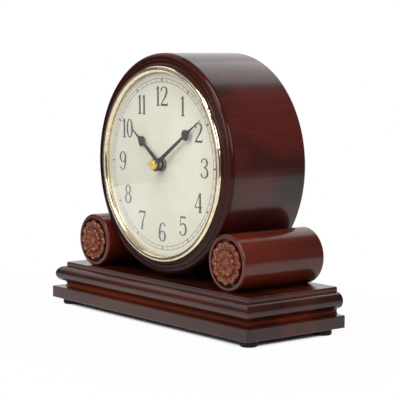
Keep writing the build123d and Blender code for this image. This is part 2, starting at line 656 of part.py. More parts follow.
def glass_dome():
    """A domed glass of even thickness with a flat rim under the bezel's lip."""
    rim = SIGHT_RADIUS - BEZEL_LIP / 2
    inner_ball = (rim**2 + GLASS_RISE**2) / (2 * GLASS_RISE)
    outer_ball = inner_ball + GLASS_THICKNESS
    centre = GLASS_REAR + GLASS_RISE - inner_ball
    outer_rim = sqrt(outer_ball**2 - (LIP_REAR - centre) ** 2)
    half_inner = asin(rim / inner_ball) / 2
    half_outer = asin(outer_rim / outer_ball) / 2
    outline = [
        ThreePointArc(
            (0, centre + inner_ball),
            (inner_ball * sin(half_inner), centre + inner_ball * cos(half_inner)),
            (rim, GLASS_REAR),
        ),
        Polyline((rim, GLASS_REAR), (INSERT_RADIUS, GLASS_REAR)),
        Polyline((INSERT_RADIUS, GLASS_REAR), (INSERT_RADIUS, LIP_REAR), (outer_rim, LIP_REAR)),
        ThreePointArc(
            (outer_rim, LIP_REAR),
            (outer_ball * sin(half_outer), centre + outer_ball * cos(half_outer)),
            (0, centre + outer_ball),
        ),
        Line((0, centre + outer_ball), (0, centre + inner_ball)),
    ]
    return on_clock(turned(outline))


def dial_spacer():
    return on_clock(tube(INSERT_RADIUS, SIGHT_RADIUS, 0, SPACER_HEIGHT))


def dial_plate():
    return on_clock(tube(INSERT_RADIUS, BUSHING_RADIUS + STATIC_FIT, DIAL_REAR, 0))


def dial_retainer():
    inner = INSERT_RADIUS - RETAINER_WIDTH
    return on_clock(tube(INSERT_RADIUS, inner, DIAL_REAR - RETAINER_THICKNESS, DIAL_REAR))


def rubber_washer():
    return on_clock(tube(RUBBER_WASHER_RADIUS, BUSHING_RADIUS + STATIC_FIT, CASE_FRONT, DIAL_REAR))


def dial_washer():
    return on_clock(tube(DIAL_WASHER_RADIUS, BUSHING_RADIUS + STATIC_FIT, 0, DIAL_WASHER_THICKNESS))


def hex_nut():
    corners = RegularPolygon(HEX_NUT_FLATS / 2, 6, major_radius=False)
    body = slab(corners, DIAL_WASHER_THICKNESS, DIAL_WASHER_THICKNESS + HEX_NUT_HEIGHT)
    return on_clock(body - rod(BUSHING_RADIUS + PUSH_FIT, 0, DIAL_WASHER_THICKNESS + HEX_NUT_HEIGHT))


# Hands

def spade_blade(length, spade_to_tip):
    """The flat outline of a hand that points up: tapered stalk, round-backed spade and needle."""
    spade_start = length - spade_to_tip
    turn = spade_start + SPADE_TURN
    needle = spade_start + SPADE_LENGTH
    side_width = (SPADE_TURN_HALF_WIDTH + NEEDLE_HALF_WIDTH) / 2 - SPADE_HOLLOW
    half = [
        Polyline((0, HAND_BEND), (STALK_FOOT_HALF_WIDTH, HAND_BEND), (STALK_TOP_HALF_WIDTH, spade_start)),
        ThreePointArc(
            (STALK_TOP_HALF_WIDTH, spade_start),
            (SPADE_HALF_WIDTH, spade_start + SPADE_SHOULDER),
            (SPADE_TURN_HALF_WIDTH, turn),
        ),
        ThreePointArc(
            (SPADE_TURN_HALF_WIDTH, turn),
            (side_width, (turn + needle) / 2),
            (NEEDLE_HALF_WIDTH, needle),
        ),
        Polyline((NEEDLE_HALF_WIDTH, needle), (NEEDLE_TIP, length), (0, length), (0, HAND_BEND)),
    ]
    right = make_face(half)
    return right + mirror(right, Plane.YZ)


def hand(blade, tip_drop, offset, bore, collar_back, angle):
    """A blade bent down toward the dial from its round hub, with a collar, pointing to a clock angle."""
    length = blade.bounding_box().max.Y
    slope = degrees(atan(tip_drop / (length - HAND_BEND)))
    arm = slab(blade, 0, HAND_THICKNESS)
    arm = Pos(0, HAND_BEND, offset) * Rot(-slope, 0, 0) * Pos(0, -HAND_BEND, 0) * arm
    hub = rod(HAND_HUB_RADIUS, offset, offset + HAND_THICKNESS)
    collar = rod(bore + HAND_COLLAR_WALL, collar_back, offset)
    bore_hole = rod(bore, collar_back, offset + HAND_THICKNESS)
    return on_clock(Rot(0, 0, -angle) * (arm + hub + collar - bore_hole))


def hour_hand():
    blade = spade_blade(HOUR_HAND_LENGTH, HOUR_SPADE_TO_TIP)
    drop = HOUR_HAND_OFFSET - HOUR_TIP_HEIGHT
    collar_back = BUSHING_LENGTH + 2 * SIDE_GAP
    return hand(blade, drop, HOUR_HAND_OFFSET, HOUR_PIPE_RADIUS + PUSH_FIT, collar_back, HOUR_ANGLE)


def minute_hand():
    blade = spade_blade(MINUTE_HAND_LENGTH, MINUTE_SPADE_TO_TIP)
    drop = MINUTE_HAND_OFFSET - MINUTE_TIP_HEIGHT
    collar_back = MINUTE_HAND_OFFSET - HAND_COLLAR_HEIGHT
    return hand(blade, drop, MINUTE_HAND_OFFSET, ARBOR_RADIUS + PUSH_FIT, collar_back, MINUTE_ANGLE)


def hand_nut():
    top = MINUTE_SEAT + HAND_NUT_HEIGHT
    nut = rod(HAND_NUT_RADIUS, MINUTE_SEAT, top)
    nut = fillet(nut.edges().sort_by(Axis.Z)[-1], HAND_NUT_ROUND)
    bore_end = MINUTE_SEAT + HAND_THREAD_LENGTH + SIDE_GAP
    return on_clock(nut - rod(HAND_THREAD_RADIUS + PUSH_FIT, MINUTE_SEAT, bore_end))


# Movement case

def case_outline(inset):
    return RectangleRounded(CASE_SIZE - 2 * inset, CASE_SIZE - 2 * inset, CASE_CORNER - inset)


def upper_outline(inset, bottom):
    """The part of the case outline above a level, clear of the cell's bay."""
    height = CASE_HALF - bottom
    return case_outline(inset) & Pos(0, bottom + height / 2) * Rectangle(CASE_SIZE, height)


def post_places():
    x = CASE_INSIDE - POST_INSET - POST_RADIUS
    return [(side * x, y) for side in (-1, 1) for y in (TRAIN_BOTTOM + POST_INSET, x)]


def movement_front_case():
    plate_rear = CASE_FRONT - FRONT_PLATE
    inside = slab(case_outline(CASE_WALL), CASE_REAR, plate_rear)
    shell = slab(case_outline(0), CASE_REAR, CASE_FRONT) - inside
    rib = block(2 * CASE_INSIDE, BAY_RIB, CASE_REAR, plate_rear, (0, BAY_TOP + BAY_RIB / 2))
    bushing = rod(BUSHING_RADIUS, plate_rear, BUSHING_LENGTH)
    stud = rod(STUD_RADIUS, BRIDGE_LAYER + SIDE_GAP, plate_rear, MOTION_AXIS)
    body = shell + rib + bushing + stud
    for place in post_places():
        body = body + rod(POST_RADIUS, BRIDGE_LAYER, plate_rear, place)
    body = body - rod(HOUR_PIPE_RADIUS + RUNNING_FIT, plate_rear, BUSHING_LENGTH)
    pivot_end = plate_rear + PIVOT_LENGTH + SIDE_GAP
    return on_clock(body - rod(PIVOT_RADIUS + RUNNING_FIT, plate_rear, pivot_end, SETTING_AXIS))


def movement_back_case():
    plate = slab(upper_outline(0, BAY_TOP), COVER_REAR, CASE_REAR)
    plate = plate - rod(SETTING_ARBOR_RADIUS + RUNNING_FIT, COVER_REAR, CASE_REAR, SETTING_AXIS)
    pivot_end = CASE_REAR - PIVOT_LENGTH - SIDE_GAP
    for axis in (CENTRE_AXIS, THIRD_AXIS, INTERMEDIATE_AXIS, ROTOR_AXIS):
        plate = plate - rod(PIVOT_RADIUS + RUNNING_FIT, pivot_end, CASE_REAR, axis)
    return on_clock(plate)


def train_bridge():
    """The plate between motion work and going train, with posts for the stator and the circuit."""
    outline = upper_outline(CASE_WALL + STATIC_FIT, TRAIN_BOTTOM + STATIC_FIT)
    plate = slab(outline, BRIDGE_REAR, BRIDGE_LAYER)
    plate = plate - rod(REAR_ARBOR_RADIUS + RUNNING_FIT, BRIDGE_REAR, BRIDGE_LAYER)
    plate = plate - rod(SETTING_ARBOR_RADIUS + RUNNING_FIT, BRIDGE_REAR, BRIDGE_LAYER, SETTING_AXIS)
    for axis in (THIRD_AXIS, INTERMEDIATE_AXIS, ROTOR_AXIS):
        plate = plate - rod(PIVOT_RADIUS + RUNNING_FIT, BRIDGE_REAR, BRIDGE_LAYER, axis)
    for place in stator_feet():
        plate = plate + rod(POST_RADIUS, STATOR_LAYER, BRIDGE_REAR, place)
    for place in board_feet():
        plate = plate + rod(POST_RADIUS, BRIDGE_REAR - BOARD_STANDOFF, BRIDGE_REAR, place)
    return on_clock(plate)


# Motion work

def centre_arbor():
    """The minute arbor: cannon pinion, threaded end and a rear bearing for the seconds arbor."""
    pinion_back = MOTION_LAYER - MOTION_WHEEL - SIDE_GAP
    arbor = rod(ARBOR_RADIUS, pinion_back, MINUTE_SEAT)
    thread = rod(HAND_THREAD_RADIUS, MINUTE_SEAT, MINUTE_SEAT + HAND_THREAD_LENGTH)
    tail = rod(REAR_ARBOR_RADIUS, CENTRE_ARBOR_REAR, pinion_back)
    pinion = gear(CANNON_TEETH, MOTION_MODULE, pinion_back, MOTION_LAYER + SIDE_GAP, CENTRE_AXIS)
    bearing_end = CENTRE_ARBOR_REAR + PIVOT_LENGTH + SIDE_GAP
    bearing = rod(PIVOT_RADIUS + RUNNING_FIT, CENTRE_ARBOR_REAR, bearing_end)
    return on_clock(arbor + thread + tail + pinion - bearing)


def hour_wheel():
    wheel = gear(HOUR_TEETH, HOUR_MODULE, HOUR_LAYER - MOTION_WHEEL, HOUR_LAYER, CENTRE_AXIS)
    pipe = rod(HOUR_PIPE_RADIUS, HOUR_LAYER - MOTION_WHEEL, HOUR_PIPE_END)
    return on_clock(wheel + pipe - rod(HOUR_PIPE_BORE, HOUR_LAYER - MOTION_WHEEL, HOUR_PIPE_END))


def motion_wheel():
    back = MOTION_LAYER - MOTION_WHEEL
    front = HOUR_LAYER + SIDE_GAP
    wheel = gear(MOTION_TEETH, MOTION_MODULE, back, MOTION_LAYER, MOTION_AXIS, MOTION_PHASE)
    pinion = gear(
        MOTION_PINION_TEETH, HOUR_MODULE, MOTION_LAYER, front, MOTION_AXIS, MOTION_PINION_PHASE
    )
    return on_clock(wheel + pinion - rod(STUD_RADIUS + RUNNING_FIT, back, front, MOTION_AXIS))


def setting_gear():
    plate_rear = CASE_FRONT - FRONT_PLATE
    back = MOTION_LAYER - MOTION_WHEEL
    wheel = gear(SETTING_TEETH, MOTION_MODULE, back, MOTION_LAYER, SETTING_AXIS, SETTING_PHASE)
    knob_end = COVER_REAR - 2 * SIDE_GAP - KNOB_HEIGHT
    arbor = rod(SETTING_ARBOR_RADIUS, knob_end, plate_rear - SIDE_GAP, SETTING_AXIS)
    pivot = rod(PIVOT_RADIUS, plate_rear - SIDE_GAP, plate_rear + PIVOT_LENGTH, SETTING_AXIS)
    return on_clock(wheel + arbor + pivot)


def setting_knob():
    front = COVER_REAR - 2 * SIDE_GAP
    body = rod(KNOB_RADIUS, front - KNOB_HEIGHT, front)
    flute = rod(KNOB_FLUTE_RADIUS, front - KNOB_HEIGHT, front, (KNOB_RADIUS, 0))
    body = body - [Rot(0, 0, n * 360 / KNOB_FLUTES) * flute for n in range(KNOB_FLUTES)]
    body = body - rod(SETTING_ARBOR_RADIUS + PUSH_FIT, front - KNOB_HEIGHT, front)
    return on_clock(Pos(*SETTING_AXIS) * body)


# Going train

def train_arbor(axis, front):
    """A thin arbor from a bearing in front to a blind bearing in the back case."""
    return rod(PIVOT_RADIUS, CASE_REAR - PIVOT_LENGTH, front, axis)


def centre_wheel():
    back = CENTRE_LAYER - TRAIN_WHEEL
    wheel = gear(CENTRE_TEETH, CENTRE_MODULE, back, CENTRE_LAYER, CENTRE_AXIS)
    return on_clock(wheel - rod(REAR_ARBOR_RADIUS + RUNNING_FIT, back, CENTRE_LAYER))


def clutch_spring():
    front = CENTRE_LAYER - TRAIN_WHEEL - RUNNING_FIT
    inner = REAR_ARBOR_RADIUS + PUSH_FIT
    return on_clock(tube(inner + CLUTCH_SPRING_WIDTH, inner, front - CLUTCH_SPRING_THICKNESS, front))


def third_wheel():
    back = THIRD_LAYER - TRAIN_WHEEL
    pinion_front = CENTRE_LAYER + SIDE_GAP
    wheel = gear(THIRD_TEETH, THIRD_MODULE, back, THIRD_LAYER, THIRD_AXIS, THIRD_PHASE)
    pinion = gear(
        THIRD_PINION_TEETH, CENTRE_MODULE, THIRD_LAYER, pinion_front, THIRD_AXIS, THIRD_PINION_PHASE
    )
    return on_clock(wheel + pinion + train_arbor(THIRD_AXIS, BRIDGE_LAYER))


def seconds_wheel():
    back = SECONDS_LAYER - TRAIN_WHEEL
    pinion_front = THIRD_LAYER + SIDE_GAP
    wheel = gear(SECONDS_TEETH, SECONDS_MODULE, back, SECONDS_LAYER, CENTRE_AXIS)
    pinion = gear(SECONDS_PINION_TEETH, THIRD_MODULE, SECONDS_LAYER, pinion_front, CENTRE_AXIS)
    return on_clock(wheel + pinion + train_arbor(CENTRE_AXIS, CENTRE_ARBOR_REAR + PIVOT_LENGTH))


def intermediate_wheel():
    axis = INTERMEDIATE_AXIS
    pinion_front = SECONDS_LAYER + SIDE_GAP
    back = INTERMEDIATE_LAYER - TRAIN_WHEEL
    wheel = gear(INTERMEDIATE_TEETH, ROTOR_MODULE, back, INTERMEDIATE_LAYER, axis)
    pinion = gear(
        INTERMEDIATE_PINION_TEETH,
        SECONDS_MODULE,
        INTERMEDIATE_LAYER,
        pinion_front,
        axis,
        INTERMEDIATE_PINION_PHASE,
    )
    return on_clock(wheel + pinion + train_arbor(axis, BRIDGE_LAYER))


def rotor_pinion():
    back = INTERMEDIATE_LAYER - TRAIN_WHEEL - SIDE_GAP
    front = INTERMEDIATE_LAYER + SIDE_GAP
    pinion = gear(ROTOR_TEETH, ROTOR_MODULE, back, front, ROTOR_AXIS, ROTOR_PHASE)
    return on_clock(pinion + train_arbor(ROTOR_AXIS, BRIDGE_LAYER))


def rotor_magnet():
    front = STATOR_LAYER - STATOR_THICKNESS / 2 + MAGNET_THICKNESS / 2
    back = front - MAGNET_THICKNESS
    return on_clock(tube(MAGNET_RADIUS, PIVOT_RADIUS + PUSH_FIT, back, front, ROTOR_AXIS))


# Stepping motor and circuit

COIL_HEIGHT = ROTOR_AXIS[1] + COIL_RISE


def stator_feet():
    reach = STATOR_HALF_SPAN - STATOR_BAR / 2
    return [(ROTOR_AXIS[0] + side * reach, ROTOR_AXIS[1]) for side in (-1, 1)]


def stator():
    """A flat U of soft iron: a bar round the rotor, and a leg at each end up to the coil's core."""
    rear = STATOR_LAYER - STATOR_THICKNESS
    bar = Pos(*ROTOR_AXIS) * Rectangle(2 * STATOR_HALF_SPAN, STATOR_BAR)
    boss = Pos(*ROTOR_AXIS) * Circle(MAGNET_RADIUS + AIR_GAP + STATOR_BOSS_WALL)
    face = bar + boss
    leg_height = COIL_RISE + CORE_WIDTH / 2
    for x, y in stator_feet():
        face = face + Pos(x, y + leg_height / 2) * Rectangle(STATOR_BAR, leg_height)
    face = face - Pos(*ROTOR_AXIS) * Circle(MAGNET_RADIUS + AIR_GAP)
    return on_clock(slab(face, rear, STATOR_LAYER))


COIL = Pos(ROTOR_AXIS[0], COIL_HEIGHT, CORE_MIDDLE) * Rot(0, 90, 0)


def coil_core():
    place = (ROTOR_AXIS[0], COIL_HEIGHT)
    back = CORE_FRONT - CORE_THICKNESS
    return on_clock(block(2 * STATOR_HALF_SPAN, CORE_WIDTH, back, CORE_FRONT, place))


def coil_bobbin():
    sleeve = Cylinder(BOBBIN_RADIUS, COIL_LENGTH)
    flange = Cylinder(COIL_FLANGE_RADIUS, COIL_FLANGE_THICKNESS)
    reach = (COIL_LENGTH - COIL_FLANGE_THICKNESS) / 2
    body = sleeve + Pos(0, 0, reach) * flange + Pos(0, 0, -reach) * flange
    slot = Box(CORE_THICKNESS + 2 * PUSH_FIT, CORE_WIDTH + 2 * PUSH_FIT, COIL_LENGTH)
    return on_clock(COIL * (body - slot))


def coil_winding():
    length = COIL_LENGTH - 2 * COIL_FLANGE_THICKNESS
    return on_clock(COIL * (Cylinder(COIL_WINDING_RADIUS, length) - Cylinder(BOBBIN_RADIUS, length)))


BOARD_FRONT = BRIDGE_REAR - BOARD_STANDOFF
BOARD_REAR = BOARD_FRONT - BOARD_THICKNESS
BOARD_X = CASE_INSIDE - BOARD_MARGIN - BOARD_WIDTH / 2
BOARD_Y = CASE_INSIDE - BOARD_MARGIN - BOARD_HEIGHT / 2
BOARD_QUARTER = BOARD_WIDTH / 4


def board_feet():
    x = BOARD_WIDTH / 2 - POST_RADIUS
    y = BOARD_HEIGHT / 2 - POST_RADIUS
    return [(BOARD_X + side * x, BOARD_Y + side * y) for side in (-1, 1)]


def circuit_board():
    return on_clock(block(BOARD_WIDTH, BOARD_HEIGHT, BOARD_REAR, BOARD_FRONT, (BOARD_X, BOARD_Y)))


def timing_chip():
    place = (BOARD_X - BOARD_QUARTER, BOARD_Y)
    return on_clock(block(CHIP_SIZE, CHIP_SIZE, BOARD_REAR - CHIP_HEIGHT, BOARD_REAR, place))


def quartz_crystal():
    place = Pos(BOARD_X + BOARD_QUARTER, BOARD_Y, BOARD_REAR - CRYSTAL_RADIUS)
    return on_clock(place * Rot(90, 0, 0) * Cylinder(CRYSTAL_RADIUS, CRYSTAL_LENGTH))


# Cell and contacts

def battery():
    body_length = BATTERY_LENGTH - BATTERY_NUB_LENGTH
    body = Pos(-BATTERY_NUB_LENGTH / 2, 0, 0) * Rot(0, 90, 0) * Cylinder(BATTERY_RADIUS, body_length)
    nub_middle = (BATTERY_LENGTH - BATTERY_NUB_LENGTH) / 2
    nub = Pos(nub_middle, 0, 0) * Rot(0, 90, 0) * Cylinder(BATTERY_NUB_RADIUS, BATTERY_NUB_LENGTH)
    return on_clock(Pos(0, BATTERY_DROP, BATTERY_Z) * (body + nub))


def contact(side):
    """A strip on the bay's end wall with a point that nearly meets the cell's end."""
    plate_rear = CASE_FRONT - FRONT_PLATE
    depth = plate_rear - CASE_REAR - 2 * CONTACT_MARGIN
    middle = (plate_rear + CASE_REAR) / 2
    strip_x = CASE_INSIDE - CONTACT_THICKNESS / 2
    strip = Pos(side * strip_x, BATTERY_DROP, middle) * Box(CONTACT_THICKNESS, CONTACT_WIDTH, depth)
    point_x = CASE_INSIDE - CONTACT_THICKNESS - CONTACT_REACH / 2
    point = Rot(0, 90, 0) * Cylinder(CONTACT_POINT_RADIUS, CONTACT_REACH)
    return on_clock(strip + Pos(side * point_x, BATTERY_DROP, BATTERY_Z) * point)


NODES = {
    "feet": feet(),
    "base_bottom_board": bottom_board(),
    "base_neck_board": neck_board(),
    "base_torus_board": torus_board(),
    "base_cap_board": cap_board(),
    "base_screws": group(base_screw(place) for place in BASE_SCREW_PLACES),
    "roll_left": roll(-1),
    "roll_right": roll(1),
    "rosette_left": rosette(-1),
    "rosette_right": rosette(1),
    "drum_saddle": drum_saddle(),
    "drum_shell": drum_shell(),
    "front_ring": front_ring(),
    "back_panel": back_panel(),
    "back_panel_screws": back_panel_screws(),
    "bezel": bezel(),
    "glass_dome": glass_dome(),
    "dial_spacer": dial_spacer(),
    "dial_plate": dial_plate(),
    "dial_retainer": dial_retainer(),
    "rubber_washer": rubber_washer(),
    "dial_washer": dial_washer(),
    "hex_nut": hex_nut(),
    "hour_hand": hour_hand(),
    "minute_hand": minute_hand(),
    "hand_nut": hand_nut(),
    "movement_front_case": movement_front_case(),
    "movement_back_case": movement_back_case(),
    "train_bridge": train_bridge(),
    "centre_arbor": centre_arbor(),
    "hour_wheel": hour_wheel(),
    "motion_wheel": motion_wheel(),
    "setting_gear": setting_gear(),
    "setting_knob": setting_knob(),
    "centre_wheel": centre_wheel(),
    "clutch_spring": clutch_spring(),
    "third_wheel": third_wheel(),
    "seconds_wheel": seconds_wheel(),
    "intermediate_wheel": intermediate_wheel(),
    "rotor_pinion": rotor_pinion(),
    "rotor_magnet": rotor_magnet(),
    "stator": stator(),
    "coil_core": coil_core(),
    "coil_bobbin": coil_bobbin(),
    "coil_winding": coil_winding(),
    "circuit_board": circuit_board(),
    "timing_chip": timing_chip(),
    "quartz_crystal": quartz_crystal(),
    "battery": battery(),
    "contact_positive": contact(1),
    "contact_negative": contact(-1),
}

os.makedirs("parts", exist_ok=True)
for name, shape in NODES.items():
    export_step(shape, f"parts/{name}.step")
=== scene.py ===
from collections import namedtuple
from math import cos, hypot, pi, radians, sin, sqrt

import bmesh
import bpy
from mathutils import Matrix, Vector
from mathutils.geometry import delaunay_2d_cdt


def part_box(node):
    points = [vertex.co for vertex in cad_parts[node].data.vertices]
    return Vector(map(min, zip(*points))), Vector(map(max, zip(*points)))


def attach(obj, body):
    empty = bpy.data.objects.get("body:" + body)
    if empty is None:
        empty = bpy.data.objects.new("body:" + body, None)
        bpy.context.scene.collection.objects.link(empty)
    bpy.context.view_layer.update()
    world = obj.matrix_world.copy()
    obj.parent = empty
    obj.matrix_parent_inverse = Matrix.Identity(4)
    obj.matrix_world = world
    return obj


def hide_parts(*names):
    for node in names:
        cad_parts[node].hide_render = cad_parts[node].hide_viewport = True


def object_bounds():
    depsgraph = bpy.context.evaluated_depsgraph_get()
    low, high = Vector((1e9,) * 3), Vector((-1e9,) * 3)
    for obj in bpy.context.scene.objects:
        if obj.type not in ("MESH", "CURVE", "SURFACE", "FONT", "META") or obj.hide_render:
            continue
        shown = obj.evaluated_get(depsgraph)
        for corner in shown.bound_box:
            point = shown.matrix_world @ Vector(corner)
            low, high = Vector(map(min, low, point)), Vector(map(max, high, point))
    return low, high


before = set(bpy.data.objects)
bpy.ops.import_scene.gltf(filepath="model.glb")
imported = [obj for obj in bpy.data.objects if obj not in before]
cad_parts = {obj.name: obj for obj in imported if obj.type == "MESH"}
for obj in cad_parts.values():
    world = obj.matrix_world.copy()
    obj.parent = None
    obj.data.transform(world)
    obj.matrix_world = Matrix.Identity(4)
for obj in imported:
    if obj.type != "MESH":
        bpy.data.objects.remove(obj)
cad_low, cad_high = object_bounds()

# The scene is in metres, in the frame of the solids: x right, -y toward the viewer, z up.
MM = 0.001

# Camera, in millimetres
CAMERA_PLACE = (934.9, -720.9, 214.9)
CAMERA_TARGET = (3.6, 8.1, 98.1)
CAMERA_LENS = 129.52
CAMERA_SENSOR = 36.0


Box = namedtuple("Box", "low middle high")


def box_of(node):
    """Lowest corner, middle and highest corner of a solid, in millimetres."""
    low, high = (Vector(corner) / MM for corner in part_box(node))
    return Box(low, (low + high) / 2, high)


# Places on the clock, in millimetres
DIAL_FRONT_Y = box_of("dial_plate").low.y
DIAL_HEIGHT = box_of("dial_plate").middle.z
ROLL_FACE_Y = box_of("roll_right").low.y
ROSETTE_BACK_Y = box_of("rosette_right").high.y
ROSETTE_MIDDLES = {side: box_of("rosette_" + side).middle for side in ("left", "right")}


def tone(red, green, blue):
    """A linear colour with full alpha from 8-bit display values."""
    def linear(value):
        share = value / 255
        return share / 12.92 if share <= 0.04045 else ((share + 0.055) / 1.055) ** 2.4
    return (linear(red), linear(green), linear(blue), 1.0)


WHITE = (1.0, 1.0, 1.0, 1.0)


# Building node trees

class Tree:
    """A node tree being built: each call adds one node, sets its values and links its inputs."""

    def __init__(self, owner):
        owner.use_nodes = True
        self.nodes = owner.node_tree.nodes
        self.links = owner.node_tree.links
        self.nodes.clear()

    def add(self, kind, inputs=None, **settings):
        node = self.nodes.new(kind)
        for name, value in settings.items():
            setattr(node, name, value)
        for key, value in (inputs or {}).items():
            self.put(node.inputs[key], value)
        return node

    def put(self, socket, value):
        if isinstance(value, bpy.types.NodeSocket):
            self.links.new(value, socket)
        else:
            socket.default_value = value

    def math(self, operation, first, second=0.0, clamp=False):
        settings = {"operation": operation, "use_clamp": clamp}
        return self.add("ShaderNodeMath", {0: first, 1: second}, **settings).outputs[0]

    def ramp(self, value, low, high, out_low=0.0, out_high=1.0):
        """The value between low and high, eased and clamped, spread over an output range."""
        inputs = {0: value, 1: low, 2: high, 3: out_low, 4: out_high}
        return self.add("ShaderNodeMapRange", inputs, interpolation_type="SMOOTHSTEP").outputs[0]

    def spread(self, noise, out_low=0.0, out_high=1.0):
        """A noise over most of its own range, spread over an output range."""
        return self.ramp(noise, 0.3, 0.7, out_low, out_high)

    def edge(self, place, span):
        """From nothing to all between two places in millimetres."""
        return self.ramp(place, span[0] * MM, span[1] * MM)

    def mix(self, share, first, second):
        """A blend of two colours, put in by number because the node's sockets share their names."""
        node = self.add("ShaderNodeMix", {"Factor": share}, data_type="RGBA")
        self.put(node.inputs[6], first)
        self.put(node.inputs[7], second)
        return node.outputs[2]

    def place(self):
        return self.add("ShaderNodeTexCoord").outputs["Object"]

    def stretched(self, place, scale):
        return self.add("ShaderNodeMapping", {"Vector": place, "Scale": scale}).outputs[0]

    def noise(self, place, scale=1.0, detail=3.0, roughness=0.55):
        inputs = {"Vector": place, "Scale": scale, "Detail": detail, "Roughness": roughness}
        return self.add("ShaderNodeTexNoise", inputs).outputs["Fac"]

    def bump(self, height, depth, strength):
        """A bumpy surface, with its depth in millimetres."""
        inputs = {"Height": height, "Distance": depth * MM, "Strength": strength}
        return self.add("ShaderNodeBump", inputs).outputs["Normal"]

    def surface(self, shader, output="ShaderNodeOutputMaterial"):
        self.add(output, {"Surface": shader})

    def principled(self, inputs):
        self.surface(self.add("ShaderNodeBsdfPrincipled", inputs).outputs[0])


def new_surface(name):
    material = bpy.data.materials.new(name)
    return material, Tree(material)


# Wood

def along_axis(axis):
    """Grain coordinates with the grain along one axis of the frame, first across, last along."""
    def coordinates(tree):
        parts = tree.add("ShaderNodeSeparateXYZ", {0: tree.place()}).outputs
        others = [number for number in range(3) if number != axis]
        order = {0: parts[others[0]], 1: parts[others[1]], 2: parts[axis]}
        return tree.add("ShaderNodeCombineXYZ", order).outputs[0]
    return coordinates


def round_axis(middle_x, middle_z, radius):
    """Grain coordinates with the grain round an axis that runs from front to back."""
    def coordinates(tree):
        parts = tree.add("ShaderNodeSeparateXYZ", {0: tree.place()}).outputs
        x = tree.math("SUBTRACT", parts[0], middle_x * MM)
        z = tree.math("SUBTRACT", parts[2], middle_z * MM)
        turn = tree.math("MULTIPLY", tree.math("ARCTAN2", z, x), radius * MM)
        squares = tree.math("ADD", tree.math("MULTIPLY", x, x), tree.math("MULTIPLY", z, z))
        reach = tree.math("SQRT", squares)
        return tree.add("ShaderNodeCombineXYZ", {0: parts[1], 1: reach, 2: turn}).outputs[0]
    return coordinates


# Waves per metre, twice across the grain and once along it
FIBRE_WAVES = (900.0, 900.0, 30.0)
PORE_WAVES = (2600.0, 2600.0, 140.0)
PORE_COLOUR = tone(22, 8, 8)


def wood(name, coordinates, dark, red, figure_across=30.0, figure_along=7.0, coat=0.9, coat_rough=0.2):
    """Lacquered mahogany: broad red and dark figure, fine fibres and dark pores under a clear coat."""
    material, tree = new_surface(name)
    grain = coordinates(tree)
    figure = tree.noise(tree.stretched(grain, (figure_across, figure_across, figure_along)), detail=2.0)
    fibre = tree.noise(tree.stretched(grain, FIBRE_WAVES), detail=4.0)
    pores = tree.noise(tree.stretched(grain, PORE_WAVES), detail=2.0)
    broad = tree.ramp(figure, 0.34, 0.66, out_high=0.85)
    fine = tree.spread(fibre, -0.06, 0.18)
    colour = tree.mix(tree.math("ADD", broad, fine, clamp=True), dark, red)
    colour = tree.mix(tree.ramp(pores, 0.6, 0.72, out_high=0.65), colour, PORE_COLOUR)
    tree.principled({
        "Base Color": colour,
        "Roughness": tree.spread(fibre, 0.34, 0.44),
        "Specular IOR Level": 0.05,
        "Coat Weight": coat,
        "Coat Roughness": coat_rough,
        "Normal": tree.bump(fibre, 0.04, 0.3),
    })
    return material


# Metals, plastics and the rest

METAL_WAVES = 300.0
METAL_SHADE = 0.82
MOTTLED_WEAR = 0.1


def metal(name, colour, roughness, wear=0.06):
    """Bare metal, a little darker and smoother in patches."""
    material, tree = new_surface(name)
    grain = tree.noise(tree.place(), METAL_WAVES)
    shade = tuple(channel * METAL_SHADE for channel in colour[:3]) + (1.0,)
    tree.principled({
        "Base Color": tree.mix(tree.spread(grain), shade, colour),
        "Metallic": 1.0,
        "Roughness": tree.spread(grain, roughness, roughness + wear),
        "Normal": tree.bump(grain, 0.01, 0.2),
    })
    return material


def mottled(name, colour, shade, roughness, scale=900.0, depth=0.03, strength=0.4, specular=0.5):
    """A non-metal with fine uneven colour and surface, such as moulded plastic, rubber or paint."""
    material, tree = new_surface(name)
    grain = tree.noise(tree.place(), scale, detail=4.0)
    tree.principled({
        "Base Color": tree.mix(tree.ramp(grain, 0.35, 0.65), shade, colour),
        "Roughness": tree.spread(grain, roughness, roughness + MOTTLED_WEAR),
        "Specular IOR Level": specular,
        "Normal": tree.bump(grain, depth, strength),
    })
    return material


def dial_paint():
    """Pale cream paint with a very faint warm cloud and a satin surface."""
    material, tree = new_surface("dial_paint")
    cloud = tree.noise(tree.place(), scale=22.0)
    speck = tree.noise(tree.place(), scale=1800.0, detail=2.0)
    colour = tree.mix(tree.spread(cloud), tone(222, 218, 198), tone(231, 228, 209))
    colour = tree.mix(tree.ramp(speck, 0.55, 0.8, out_high=0.15), colour, tone(205, 200, 178))
    tree.principled({
        "Base Color": colour,
        "Roughness": tree.spread(speck, 0.42, 0.5),
        "Normal": tree.bump(speck, 0.01, 0.15),
    })
    return material


def clear_glass():
    """Clear glass that lets the lamps reach what is behind it."""
    material, tree = new_surface("clear_glass")
    glass = tree.add("ShaderNodeBsdfPrincipled", {
        "Base Color": WHITE,
        "Roughness": 0.0,
        "IOR": 1.45,
        "Transmission Weight": 1.0,
    })
    open_way = tree.add("ShaderNodeBsdfTransparent")
    lamp_ray = tree.add("ShaderNodeLightPath").outputs["Is Shadow Ray"]
    shader = tree.add("ShaderNodeMixShader", {0: lamp_ray, 1: glass.outputs[0], 2: open_way.outputs[0]})
    tree.surface(shader.outputs[0])
    return material


# Along the cell from its middle, in millimetres
SLEEVE_BAND = (10.0, 10.4)
SLEEVE_FAR_END = (23.2, 23.4)
SLEEVE_NEAR_END = (-24.4, -24.6)


